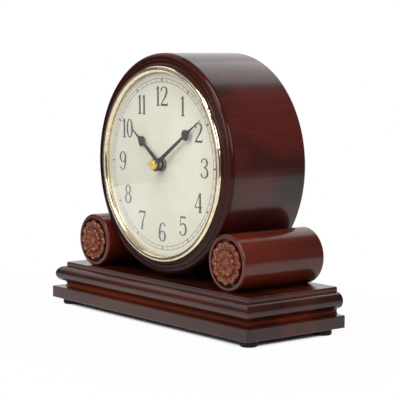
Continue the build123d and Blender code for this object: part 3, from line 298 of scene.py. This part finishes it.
def cell_wrap():
    """A plain two-tone battery sleeve between bare metal ends."""
    material, tree = new_surface("cell_wrap")
    place = tree.place()
    along = tree.add("ShaderNodeSeparateXYZ", {0: place}).outputs[0]
    band = tree.edge(along, SLEEVE_BAND)
    bare = tree.math("ADD", tree.edge(along, SLEEVE_FAR_END), tree.edge(along, SLEEVE_NEAR_END))
    speck = tree.noise(place, scale=1500.0)
    sleeve = tree.mix(band, tone(34, 38, 46), tone(176, 112, 52))
    tree.principled({
        "Base Color": tree.mix(bare, sleeve, tone(196, 196, 192)),
        "Metallic": tree.math("MAXIMUM", bare, tree.math("MULTIPLY", band, 0.5)),
        "Roughness": tree.spread(speck, 0.24, 0.34),
    })
    return material


def wound_wire():
    """Fine enamelled copper wire laid in turns along the coil."""
    material, tree = new_surface("wound_wire")
    waves = tree.add("ShaderNodeTexWave", {"Vector": tree.place(), "Scale": 1500.0}, bands_direction="X")
    turns = waves.outputs["Fac"]
    tree.principled({
        "Base Color": tree.mix(turns, tone(120, 58, 30), tone(206, 120, 72)),
        "Metallic": 1.0,
        "Roughness": tree.ramp(turns, 0.0, 1.0, 0.4, 0.26),
        "Normal": tree.bump(turns, 0.1, 0.6),
    })
    return material


def circuit():
    """Green lacquered board with faint copper tracks."""
    material, tree = new_surface("circuit")
    inputs = {"Vector": tree.place(), "Scale": 420.0}
    cells = tree.add("ShaderNodeTexVoronoi", inputs, distance="MANHATTAN").outputs["Distance"]
    track = tree.ramp(cells, 0.42, 0.5)
    tree.principled({
        "Base Color": tree.mix(track, tone(24, 82, 48), tone(66, 120, 66)),
        "Roughness": tree.ramp(cells, 0.0, 0.6, 0.3, 0.4),
    })
    return material


def fibre_board():
    """Brown hardboard with a fine fibrous face."""
    material, tree = new_surface("fibre_board")
    place = tree.place()
    fibres = tree.noise(tree.stretched(place, (900.0, 200.0, 260.0)), detail=5.0)
    cloud = tree.noise(place, scale=60.0)
    colour = tree.mix(tree.spread(cloud), tone(78, 50, 34), tone(100, 66, 44))
    colour = tree.mix(tree.ramp(fibres, 0.5, 0.75, out_high=0.6), colour, tone(48, 30, 22))
    tree.principled({
        "Base Color": colour,
        "Roughness": tree.spread(fibres, 0.62, 0.78),
        "Normal": tree.bump(fibres, 0.08, 0.5),
    })
    return material


# Meshes

def linked(name, data):
    """A new object of the scene."""
    thing = bpy.data.objects.new(name, data)
    bpy.context.scene.collection.objects.link(thing)
    return thing


def settled(name, mesh, material):
    """A mesh being built, turned into mesh data with one material."""
    data = bpy.data.meshes.new(name)
    mesh.to_mesh(data)
    mesh.free()
    data.materials.append(material)
    return data


def finished(name, mesh, material, smooth=True):
    """A mesh being built, turned into a piece of the case."""
    data = settled(name, mesh, material)
    for polygon in data.polygons:
        polygon.use_smooth = smooth
    piece = linked(name, data)
    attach(piece, "case")
    return piece


def carved_disc(mesh, matrix, reach, height, depth, rings, spokes):
    """A round relief: a polar grid lifted by height(r, angle) out to reach(angle), closed below."""
    middle = mesh.verts.new(matrix @ Vector((0, 0, height(0.0, 0.0))))
    loops = []
    for ring in range(1, rings + 1):
        loop = []
        for spoke in range(spokes):
            angle = 2 * pi * spoke / spokes
            radius = reach(angle) * ring / rings
            point = Vector((radius * cos(angle), radius * sin(angle), height(radius, angle)))
            loop.append(mesh.verts.new(matrix @ point))
        loops.append(loop)
    foot = []
    for spoke in range(spokes):
        angle = 2 * pi * spoke / spokes
        point = Vector((reach(angle) * cos(angle), reach(angle) * sin(angle), depth))
        foot.append(mesh.verts.new(matrix @ point))
    loops.append(foot)
    for spoke in range(spokes):
        following = (spoke + 1) % spokes
        mesh.faces.new((middle, loops[0][spoke], loops[0][following]))
        for inner, outer in zip(loops, loops[1:]):
            mesh.faces.new((inner[spoke], outer[spoke], outer[following], inner[following]))
    mesh.faces.new(foot[::-1])


def facing_front(x, y, z):
    """Local x right, y up and z toward the viewer at a place in millimetres, scaled to metres."""
    turn = Matrix(((1, 0, 0, x * MM), (0, 0, -1, y * MM), (0, 1, 0, z * MM), (0, 0, 0, 1)))
    return turn @ Matrix.Scale(MM, 4)


def facing_back(x, y, z):
    """The same with local z away from the viewer and x left."""
    turn = Matrix(((-1, 0, 0, x * MM), (0, 0, 1, y * MM), (0, 1, 0, z * MM), (0, 0, 0, 1)))
    return turn @ Matrix.Scale(MM, 4)


# Dial print, with sizes in millimetres

NUMERAL_RADIUS = 55.0
NUMERAL_THIN = 0.42
NUMERAL_THICK = 1.02
PRINT_THICKNESS = 0.04
TRACK_OUTER = 69.3
TRACK_INNER = 66.5
TRACK_LINE = 0.34
HOUR_TICK = 1.3
MINUTE_TICK = 0.28
CURVE_STEPS = 8
OVAL_STEPS = 40
CIRCLE_STEPS = 180
KEEP_INSIDE = 1
MERGE_DISTANCE = 1e-5

# How the drawn digits are stretched
NUMERAL_WIDE = 1.08
NUMERAL_TALL = 0.96


def eased(share, before, start, end, after):
    """A value part of the way from start to end, on a smooth curve through all four."""
    slope = end - before
    bend = 2 * before - 5 * start + 4 * end - after
    twist = 3 * (start - end) + after - before
    return start + (slope * share + bend * share**2 + twist * share**3) / 2


def curve_through(points):
    """Points along a smooth curve through the given (x, y, half width) points."""
    padded = [points[0], *points, points[-1]]
    path = []
    for number in range(len(points) - 1):
        before, start, end, after = padded[number:number + 4]
        for step in range(CURVE_STEPS):
            share = step / CURVE_STEPS
            path.append(tuple(eased(share, *values) for values in zip(before, start, end, after)))
    return path + [points[-1]]


def ribbon(path):
    """Quads, turning left round their edges, along a path of (x, y, half width) points."""
    left = []
    right = []
    for number, (x, y, half) in enumerate(path):
        x0, y0, _ = path[max(number - 1, 0)]
        x1, y1, _ = path[min(number + 1, len(path) - 1)]
        length = hypot(x1 - x0, y1 - y0)
        across = ((y0 - y1) / length * half, (x1 - x0) / length * half)
        left.append((x + across[0], y + across[1]))
        right.append((x - across[0], y - across[1]))
    return [
        [right[number], right[number + 1], left[number + 1], left[number]]
        for number in range(len(path) - 1)
    ]


def closed_band(point, steps):
    """Quads round a closed band, from point(step, -1) on its inside to point(step, 1) on its outside."""
    return [
        [point(step, -1), point(step, 1), point(step + 1, 1), point(step + 1, -1)]
        for step in range(steps)
    ]


def stroke(*points):
    return ribbon(curve_through(points))


def bar(start, end, half):
    return ribbon([(*start, half), (*end, half)])


def oval(middle_x, middle_y, reach_x, reach_y, half=NUMERAL_THICK):
    """A ring of small quads, thick at its sides and thin at top and bottom."""
    def point(step, side):
        angle = 2 * pi * step / OVAL_STEPS
        thin = NUMERAL_THIN * side
        thick = half * side
        return (middle_x + (reach_x + thick) * cos(angle), middle_y + (reach_y + thin) * sin(angle))
    return closed_band(point, OVAL_STEPS)


def half_turned(shapes):
    return [[(-x, -y) for x, y in shape] for shape in shapes]


# Each digit is drawn round its own middle, in strokes of (x, y, half width) points.

def digit_1():
    flag = stroke((-2.3, 5.6, 0.2), (-1.2, 6.5, 0.4), (-0.3, 7.6, 0.5))
    return bar((0, -8.1), (0, 8.1), NUMERAL_THICK) + flag + bar((-2.0, -7.8), (2.0, -7.8), NUMERAL_THIN)


def digit_2():
    bow = stroke(
        (-3.5, 4.0, 0.9), (-3.2, 6.1, 0.65), (-0.5, 7.75, 0.4), (2.6, 6.5, 0.8),
        (3.2, 3.7, 1.0), (1.5, -0.2, 0.85), (-1.6, -4.3, 0.6), (-3.7, -7.2, 0.5),
    )
    tail = stroke((3.8, -7.4, 0.55), (4.2, -6.2, 0.35), (4.4, -4.8, 0.2))
    return bow + bar((-4.2, -7.25), (4.1, -7.25), 0.85) + tail


def digit_3():
    upper = stroke(
        (-3.2, 4.5, 0.9), (-2.8, 6.6, 0.55), (-0.3, 7.75, 0.38), (2.5, 6.5, 0.8),
        (3.0, 4.2, 0.95), (1.9, 1.8, 0.65), (-0.8, 0.7, 0.35),
    )
    lower = stroke(
        (-0.8, 0.7, 0.35), (2.3, -0.4, 0.7), (3.6, -3.5, 1.0), (2.6, -6.5, 0.85),
        (-0.2, -7.75, 0.38), (-3.0, -6.6, 0.6), (-3.6, -4.4, 0.9),
    )
    return upper + lower


def digit_4():
    stem = bar((1.8, -8.1), (1.8, 8.1), NUMERAL_THICK)
    slope = bar((1.5, 7.9), (-4.2, -3.7), 0.42)
    return stem + slope + bar((-4.5, -3.7), (4.3, -3.7), 0.45) + bar((-0.2, -7.8), (3.8, -7.8), NUMERAL_THIN)


def digit_5():
    bowl = stroke(
        (-3.2, 0.2, 0.35), (-0.8, 1.9, 0.5), (2.4, 0.9, 0.85), (3.6, -2.7, 1.0),
        (2.5, -6.3, 0.85), (-0.3, -7.75, 0.4), (-3.0, -6.6, 0.65), (-3.5, -4.6, 0.9),
    )
    return bar((-2.9, 7.3), (3.3, 7.3), 0.8) + bar((-2.7, 7.9), (-3.2, 0.2), 0.4) + bowl


def digit_6():
    stem = stroke(
        (3.0, 5.2, 0.85), (2.0, 7.1, 0.5), (0.3, 7.75, 0.38), (-2.1, 5.8, 0.75),
        (-3.3, 1.4, 0.95), (-3.4, -3.4, 0.95),
    )
    return stem + oval(0.0, -3.4, 3.4, 4.35)


def digit_7():
    slope = stroke((3.9, 7.0, 0.5), (1.9, 2.6, 0.6), (0.2, -2.6, 0.85), (-0.5, -8.1, 1.05))
    serif = stroke((-4.0, 7.5, 0.5), (-4.3, 6.2, 0.35), (-4.5, 4.7, 0.2))
    return bar((-4.2, 7.25), (4.3, 7.25), 0.85) + serif + slope


def digit_8():
    return oval(0.0, 4.1, 2.8, 3.6, 0.85) + oval(0.0, -3.75, 3.4, 4.0)


def digit_9():
    return half_turned(digit_6())


def digit_0():
    return oval(0.0, 0.0, 3.1, 7.75)


def shifted(shapes, right, up):
    return [[(x + right, y + up) for x, y in shape] for shape in shapes]


def stretched(shapes, wide, tall):
    return [[(x * wide, y * tall) for x, y in shape] for shape in shapes]


NUMERALS = {
    1: digit_1(),
    2: digit_2(),
    3: digit_3(),
    4: digit_4(),
    5: digit_5(),
    6: digit_6(),
    7: digit_7(),
    8: digit_8(),
    9: digit_9(),
    10: shifted(digit_1(), -4.6, 0) + shifted(digit_0(), 2.4, 0),
    11: shifted(digit_1(), -2.7, 0) + shifted(digit_1(), 2.7, 0),
    12: shifted(digit_1(), -5.0, 0) + shifted(digit_2(), 2.6, 0),
}


def numerals():
    shapes = []
    for hour, outline in NUMERALS.items():
        angle = radians(30 * hour)
        numeral = stretched(outline, NUMERAL_WIDE, NUMERAL_TALL)
        shapes += shifted(numeral, NUMERAL_RADIUS * sin(angle), NUMERAL_RADIUS * cos(angle))
    return shapes


def track_circle(radius):
    def point(step, side):
        angle = 2 * pi * step / CIRCLE_STEPS
        reach = radius + side * TRACK_LINE / 2
        return (reach * cos(angle), reach * sin(angle))
    return closed_band(point, CIRCLE_STEPS)


def minute_track():
    shapes = track_circle(TRACK_OUTER) + track_circle(TRACK_INNER)
    for minute in range(60):
        angle = radians(6 * minute)
        half = (HOUR_TICK if minute % 5 == 0 else MINUTE_TICK) / 2
        inner = (TRACK_INNER * sin(angle), TRACK_INNER * cos(angle))
        outer = (TRACK_OUTER * sin(angle), TRACK_OUTER * cos(angle))
        shapes += bar(inner, outer, half)
    return shapes


def printed(name, shapes, material):
    """Flat shapes on the dial, joined where they overlap and given the thickness of ink."""
    points = [Vector(point) for shape in shapes for point in shape]
    polygons = []
    first = 0
    for shape in shapes:
        polygons.append(list(range(first, first + len(shape))))
        first += len(shape)
    flat, _, triangles, _, _, sources = delaunay_2d_cdt(points, [], polygons, KEEP_INSIDE, MERGE_DISTANCE)
    front_y = (DIAL_FRONT_Y - PRINT_THICKNESS) * MM
    mesh = bmesh.new()
    corners = [mesh.verts.new((p.x * MM, front_y, (p.y + DIAL_HEIGHT) * MM)) for p in flat]
    for triangle, covering in zip(triangles, sources):
        if covering:
            mesh.faces.new([corners[number] for number in triangle])
    bmesh.ops.recalc_face_normals(mesh, faces=mesh.faces)
    skirt = bmesh.ops.extrude_face_region(mesh, geom=list(mesh.faces))
    sunk = [item for item in skirt["geom"] if isinstance(item, bmesh.types.BMVert)]
    bmesh.ops.translate(mesh, verts=sunk, vec=(0, PRINT_THICKNESS * MM, 0))
    bmesh.ops.recalc_face_normals(mesh, faces=mesh.faces)
    return finished(name, mesh, material, smooth=False)


# Carved rosettes, with sizes in millimetres

ROSETTE_REACH = 17.0
ROSETTE_SCALLOP = 1.5
ROSETTE_FLOOR = ROLL_FACE_Y - ROSETTE_BACK_Y
PETALS = 12
PETAL_FOOT = -0.2
PETAL_RISE = 2.5
PETAL_CUP = 1.0
INNER_REACH = 10.2
INNER_SCALLOP = 1.6
INNER_RISE = 2.5
INNER_CUP = 1.0
INNER_LIFT = 0.3
BOSS_REACH = 3.6
BOSS_RISE = 2.2
BOSS_EDGE = 0.4
# How far below the petals' feet the painted shade of the hollows deepens
PAINTED_SHADE_DEPTH = 1.4
ROSETTE_RINGS = 56
ROSETTE_SPOKES = 288

# Powers that round a petal along and across itself, and the share of its height left at its sides
PETAL_SWELL = 0.7
PETAL_TIP = 8
PETAL_ROUND = 0.6
PETAL_GROOVE = 4
PETAL_SIDE = 0.35


def carved_wood():
    """Coppery carved wood under a glossy lacquer, with painted shade darkening its hollows and small pale
    spots of painted glints.
    """
    material, tree = new_surface("carved_wood")
    place = tree.place()
    depth = tree.add("ShaderNodeSeparateXYZ", {0: place}).outputs[1]
    foot_y = ROLL_FACE_Y - PETAL_FOOT
    # Painted shade: the colour darkens with depth below the petals' feet, standing in for shade in the
    # hollows.
    raised = tree.edge(depth, (foot_y, foot_y - PAINTED_SHADE_DEPTH))
    grain = tree.noise(tree.stretched(place, (500.0, 500.0, 90.0)), detail=4.0)
    patches = tree.noise(place, scale=160.0, detail=2.0)
    marks_and_painted_glints = tree.noise(place, scale=480.0, detail=2.0)
    light = tree.mix(tree.spread(grain), tone(128, 58, 30), tone(160, 88, 50))
    light = tree.mix(tree.ramp(patches, 0.4, 0.62, out_high=0.8), light, tone(140, 68, 56))
    # Painted glints: small pale spots standing in for highlights on the lacquer; the same noise also bumps
    # the coat.
    light = tree.mix(tree.ramp(marks_and_painted_glints, 0.58, 0.68, out_high=0.85), light, tone(226, 186, 172))
    tree.principled({
        # The darker tone here is the painted shade of the hollows.
        "Base Color": tree.mix(raised, tone(88, 34, 12), light),
        "Roughness": tree.spread(grain, 0.26, 0.36),
        "Specular IOR Level": 0.05,
        "Coat Weight": 0.4,
        "Coat Roughness": 0.03,
        "Normal": tree.bump(grain, 0.05, 0.4),
        "Coat Normal": tree.bump(marks_and_painted_glints, 1.6, 0.9),
    })
    return material


def scalloped(reach, scallop, angle):
    return reach - scallop * (1 - abs(cos(PETALS * angle / 2)))


def rosette_edge(angle):
    return scalloped(ROSETTE_REACH, ROSETTE_SCALLOP, angle)


def petal_height(share, lobe, rise, cup):
    """The height of a cupped petal: low at its root and its sides, with a raised and rounded tip."""
    length = share**PETAL_SWELL * sqrt(max(0.0, 1 - share**PETAL_TIP))
    width = PETAL_SIDE + (1 - PETAL_SIDE) * lobe**PETAL_ROUND
    return rise * length * width - cup * sin(pi * share) * lobe**PETAL_GROOVE


def rosette_height(radius, angle):
    """Two rows of petals, the inner row between the outer ones, round a domed boss."""
    lobe = abs(cos(PETALS * angle / 2))
    turned = abs(sin(PETALS * angle / 2))
    if radius < BOSS_REACH:
        dome = sqrt(1 - (radius / BOSS_REACH) ** 2)
        return PETAL_FOOT + BOSS_RISE * (BOSS_EDGE + (1 - BOSS_EDGE) * dome)
    inner_edge = scalloped(INNER_REACH, INNER_SCALLOP, angle + pi / PETALS)
    if radius < inner_edge:
        share = (radius - BOSS_REACH) / (inner_edge - BOSS_REACH)
        return PETAL_FOOT + INNER_LIFT + petal_height(share, turned, INNER_RISE, INNER_CUP)
    share = (radius - inner_edge) / (rosette_edge(angle) - inner_edge)
    return PETAL_FOOT + petal_height(share, lobe, PETAL_RISE, PETAL_CUP)


def rosette(name, side, material):
    mesh = bmesh.new()
    middle = ROSETTE_MIDDLES[side]
    matrix = facing_front(middle.x, ROLL_FACE_Y, middle.z)
    carved_disc(mesh, matrix, rosette_edge, rosette_height, ROSETTE_FLOOR, ROSETTE_RINGS, ROSETTE_SPOKES)
    return finished(name, mesh, material)


# Screws of the back panel, with sizes in millimetres

SCREWS = 6
SCREW_REACH = 2.4
SCREW_EDGE = 0.7
SCREW_DOME = 0.6
CROSS_REACH = 1.5
CROSS_HALF_WIDTH = 0.4
CROSS_DEPTH = 0.7
SCREW_RINGS = 24
SCREW_SPOKES = 96

# How steeply the recess falls from its sides and its ends
CROSS_SIDE_SLOPE = 2
CROSS_END_SLOPE = 4


def screw_edge(_angle):
    return SCREW_REACH


def screw_height(radius, angle):
    """A domed head with a cross-shaped recess that is deepest along its middle lines."""
    dome = SCREW_EDGE + SCREW_DOME * sqrt(max(0.0, 1 - (radius / SCREW_REACH) ** 2))
    aside = radius * min(abs(cos(angle)), abs(sin(angle)))
    inside = min(1.0, max(0.0, CROSS_SIDE_SLOPE * (1 - aside / CROSS_HALF_WIDTH)))
    end = min(1.0, max(0.0, CROSS_END_SLOPE * (1 - radius / CROSS_REACH)))
    return dome - CROSS_DEPTH * inside * end


def panel_screws(material):
    low, middle, high = box_of("back_panel_screws")
    circle = (high.z - low.z) / 2 - SCREW_REACH
    panel_y = box_of("back_panel").high.y
    mesh = bmesh.new()
    for number in range(SCREWS):
        angle = 2 * pi * (number + 0.5) / SCREWS
        matrix = facing_back(middle.x + circle * cos(angle), panel_y, middle.z + circle * sin(angle))
        carved_disc(mesh, matrix, screw_edge, screw_height, 0.0, SCREW_RINGS, SCREW_SPOKES)
    return finished("cross_head_screws", mesh, material)


# Materials for the solids

SHARP_DEGREES = 32.0
RING_RADIUS = 85.0


def smooth_shaded(node):
    """Smooth shading on a solid's faces, kept sharp at its real edges."""
    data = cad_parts[node].data
    for polygon in data.polygons:
        polygon.use_smooth = True
    data.set_sharp_from_angle(angle=radians(SHARP_DEGREES))


def dress(material, *nodes):
    for node in nodes:
        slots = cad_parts[node].data.materials
        slots.clear()
        slots.append(material)
        smooth_shaded(node)


ALONG_X = along_axis(0)
ALONG_Y = along_axis(1)

board_wood = wood("board_wood", ALONG_X, tone(42, 16, 10), tone(84, 32, 18), coat=0.8)
dress(board_wood, "base_bottom_board", "base_torus_board", "base_cap_board")
# The saddle is a darker, duller copy of the board wood: painted shade for where it sits in shadow under the
# drum.
dress(wood("saddle_wood_painted_shade", ALONG_X, tone(30, 11, 8), tone(54, 19, 12), coat=0.1), "drum_saddle")
# The neck's bright saturated orange is partly the wood's own tone and partly painted reddish reflection of
# the boards around it, with its coat lowered.
dress(wood("neck_wood_painted_reflection", ALONG_X, tone(86, 33, 14), tone(140, 55, 22), coat=0.4), "base_neck_board")
dress(wood("drum_wood", ALONG_Y, tone(34, 12, 13), tone(94, 31, 24), 19.0, 13.0), "drum_shell")
ring_grain = round_axis(0.0, DIAL_HEIGHT, RING_RADIUS)
ring_wood = wood("ring_wood", ring_grain, tone(38, 11, 8), tone(68, 20, 12), coat=0.35, coat_rough=0.06)
dress(ring_wood, "front_ring")
dress(wood("roll_wood", ALONG_Y, tone(68, 20, 12), tone(108, 38, 20)), "roll_left", "roll_right")

gold = metal("polished_gold", tone(246, 231, 200), 0.07, wear=0.05)
brass = metal("brass", tone(244, 208, 104), 0.16)
steel = metal("steel", tone(176, 176, 174), 0.3)
iron = metal("soft_iron", tone(120, 118, 114), 0.42)
magnet = metal("magnet", tone(70, 70, 74), 0.34)
black_enamel = mottled("black_enamel", tone(18, 21, 23), tone(12, 14, 16), 0.36, 700.0, specular=0.15)
case_plastic = mottled(
    "case_plastic", tone(30, 30, 31), tone(22, 22, 23), 0.48, 2200.0, depth=0.06, strength=0.6,
)
gear_plastic = mottled("gear_plastic", tone(226, 222, 210), tone(212, 208, 194), 0.38, 1500.0)
rubber = mottled(
    "rubber", tone(24, 24, 25), tone(16, 16, 17), 0.66, 1400.0, depth=0.08, strength=0.6, specular=0.3,
)
ink = mottled("ink", tone(50, 47, 42), tone(38, 36, 32), 0.6, 2600.0)

dress(gold, "bezel")
dress(metal("gold_spacer", tone(246, 230, 190), 0.12), "dial_spacer")
dress(clear_glass(), "glass_dome")
dress(dial_paint(), "dial_plate")
dress(black_enamel, "hour_hand", "minute_hand", "dial_washer")
dress(brass, "hand_nut", "centre_arbor")
dress(steel, "hex_nut", "dial_retainer", "back_panel_screws", "base_screws")
dress(steel, "contact_positive", "contact_negative")
dress(metal("spring_steel", tone(190, 186, 176), 0.24), "clutch_spring", "quartz_crystal")
dress(fibre_board(), "back_panel")
dress(rubber, "feet", "rubber_washer")
dress(case_plastic, "movement_front_case", "movement_back_case", "setting_knob", "timing_chip")
dress(gear_plastic, "hour_wheel", "motion_wheel", "setting_gear", "centre_wheel", "third_wheel")
dress(gear_plastic, "seconds_wheel", "intermediate_wheel", "rotor_pinion", "train_bridge", "coil_bobbin")
dress(magnet, "rotor_magnet")
dress(iron, "stator", "coil_core")
dress(wound_wire(), "coil_winding")
dress(circuit(), "circuit_board")
dress(cell_wrap(), "battery")

printed("dial_numerals", numerals(), ink)
printed("dial_minute_track", minute_track(), ink)

carving = carved_wood()
for flower_side in ("left", "right"):
    flower = rosette("carved_rosette_" + flower_side, flower_side, carving)
    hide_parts("rosette_" + flower_side)

screws = panel_screws(steel)
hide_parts("back_panel_screws")


# Stage, with sizes in metres

FLOOR_COLOUR = (0.86, 0.86, 0.87, 1.0)
FLOOR_RADIUS = 0.75
FLOOR_STEPS = 96
SHADOW_INSET = 0.012
SHADOW_REACH = 0.008
WHITE_REACH = 0.2
FLOOR_NEAR = 0.95


def seen_by(tree, *kinds):
    """One for rays of these kinds that left the camera and met no matt surface on their way."""
    rays = tree.add("ShaderNodeLightPath").outputs
    direct = tree.math("LESS_THAN", rays["Diffuse Depth"], 0.5)
    share = 0.0
    for kind in kinds:
        share = tree.math("MAXIMUM", share, rays[kind])
    return tree.math("MULTIPLY", share, direct)


def stage_floor():
    """A round white floor that keeps the clock's shadow and turns plain white away from it."""
    mesh = bmesh.new()
    bmesh.ops.create_circle(mesh, cap_ends=True, radius=FLOOR_RADIUS, segments=FLOOR_STEPS)
    material, tree = new_surface("floor_white")
    parts = tree.add("ShaderNodeSeparateXYZ", {0: tree.place()}).outputs
    outside = []
    for axis in range(2):
        beyond = tree.math("SUBTRACT", tree.math("ABSOLUTE", parts[axis]), cad_high[axis] - SHADOW_INSET)
        beyond = tree.math("MAXIMUM", beyond, 0.0)
        outside.append(tree.math("MULTIPLY", beyond, beyond))
    distance = tree.math("SQRT", tree.math("ADD", outside[0], outside[1]))
    near = tree.ramp(distance, 0.0, SHADOW_REACH, out_high=FLOOR_NEAR)
    far = tree.ramp(distance, SHADOW_REACH, WHITE_REACH, out_high=1.0 - FLOOR_NEAR)
    seen = seen_by(tree, "Is Camera Ray", "Is Glossy Ray", "Is Transmission Ray")
    matt = tree.add("ShaderNodeBsdfDiffuse", {"Color": FLOOR_COLOUR})
    white = tree.add("ShaderNodeEmission", {"Color": WHITE, "Strength": 1.0})
    share = tree.math("MULTIPLY", seen, tree.math("ADD", near, far))
    shader = tree.add("ShaderNodeMixShader", {0: share, 1: matt.outputs[0], 2: white.outputs[0]})
    tree.surface(shader.outputs[0])
    floor = linked("floor", settled("floor", mesh, material))


ROOM_LIGHT = 0.12

# Directions of the white cards, and the shares of a direction between which each edge fades in
BACKDROP_TOWARD = (-0.6, 0.8, 0.0)
BACKDROP_EDGE = (0.72, 0.86)
BACKDROP_TOP = (0.75, 0.5)
BACKDROP_FOOT = (-0.25, -0.1)
SCREEN_TOWARD = (-0.2, -0.98, 0.0)
SCREEN_EDGE = (0.8, 0.93)
SCREEN_TOP = (0.38, 0.15)
SCREEN_LIGHT = 0.7
PANEL_EDGE = (-0.5, -0.6)
PANEL_FOOT = (0.38, 0.48)
CANOPY_TOWARD = (-0.1, -0.66, 0.745)
CANOPY_EDGE = (0.84, 0.94)
CANOPY_LIGHT = 0.5


def studio_world():
    """White for the camera and through glass, and dim as a light.

    Gloss shows white cards: a backdrop, a screen in front, a panel high on the left and a canopy
    over the front.
    """
    world = bpy.data.worlds.new("studio")
    bpy.context.scene.world = world
    tree = Tree(world)
    toward = tree.add("ShaderNodeTexCoord").outputs["Generated"]
    right, _, up = tree.add("ShaderNodeSeparateXYZ", {0: toward}).outputs

    def facing(direction):
        dot = tree.add("ShaderNodeVectorMath", {0: toward, 1: direction}, operation="DOT_PRODUCT")
        return dot.outputs["Value"]

    height = tree.math("MULTIPLY", tree.ramp(up, *BACKDROP_TOP), tree.ramp(up, *BACKDROP_FOOT))
    backdrop = tree.math("MULTIPLY", tree.ramp(facing(BACKDROP_TOWARD), *BACKDROP_EDGE), height)
    low_down = tree.ramp(up, *SCREEN_TOP, out_high=SCREEN_LIGHT)
    screen = tree.math("MULTIPLY", tree.ramp(facing(SCREEN_TOWARD), *SCREEN_EDGE), low_down)
    panel = tree.math("MULTIPLY", tree.ramp(right, *PANEL_EDGE), tree.ramp(up, *PANEL_FOOT))
    canopy = tree.ramp(facing(CANOPY_TOWARD), *CANOPY_EDGE, out_high=CANOPY_LIGHT)
    cards = 0.0
    for card in (backdrop, screen, panel, canopy):
        cards = tree.math("MAXIMUM", cards, card)
    mirrored = tree.math("MULTIPLY", cards, seen_by(tree, "Is Glossy Ray"))
    seen = tree.math("MAXIMUM", mirrored, seen_by(tree, "Is Camera Ray", "Is Transmission Ray"))
    strength = tree.ramp(seen, 0.0, 1.0, ROOM_LIGHT, 1.0)
    shader = tree.add("ShaderNodeBackground", {"Color": WHITE, "Strength": strength})
    tree.surface(shader.outputs[0], "ShaderNodeOutputWorld")


LAMP_TARGET = Vector((0.0, 0.0, 0.1))

# Place and width in metres, and power in watts
LAMPS = {
    "front_lamp": ((0.35, -1.5, 0.9), 1.1, 9.4),
    "top_lamp": ((0.5, -0.5, 1.6), 0.9, 12.0),
    "side_lamp": ((1.5, -0.15, 0.8), 0.8, 6.0),
    "back_lamp": ((-0.45, 1.1, 1.4), 1.0, 3.2),
}


def aimed(thing, place, target):
    thing.location = place
    thing.rotation_mode = "QUATERNION"
    thing.rotation_quaternion = (target - place).to_track_quat("-Z", "Y")


def soft_lamp(name, place, width, power):
    lamp = bpy.data.lights.new(name, "AREA")
    lamp.shape = "DISK"
    lamp.size = width
    lamp.energy = power
    aimed(linked(name, lamp), Vector(place), LAMP_TARGET)


def camera():
    data = bpy.data.cameras.new("camera")
    data.lens = CAMERA_LENS
    data.sensor_width = CAMERA_SENSOR
    thing = linked("camera", data)
    aimed(thing, Vector(CAMERA_PLACE) * MM, Vector(CAMERA_TARGET) * MM)
    bpy.context.scene.camera = thing


stage_floor()
studio_world()
for lamp_name, lamp_settings in LAMPS.items():
    soft_lamp(lamp_name, *lamp_settings)
camera()
bpy.context.scene.view_settings.view_transform = "Standard"
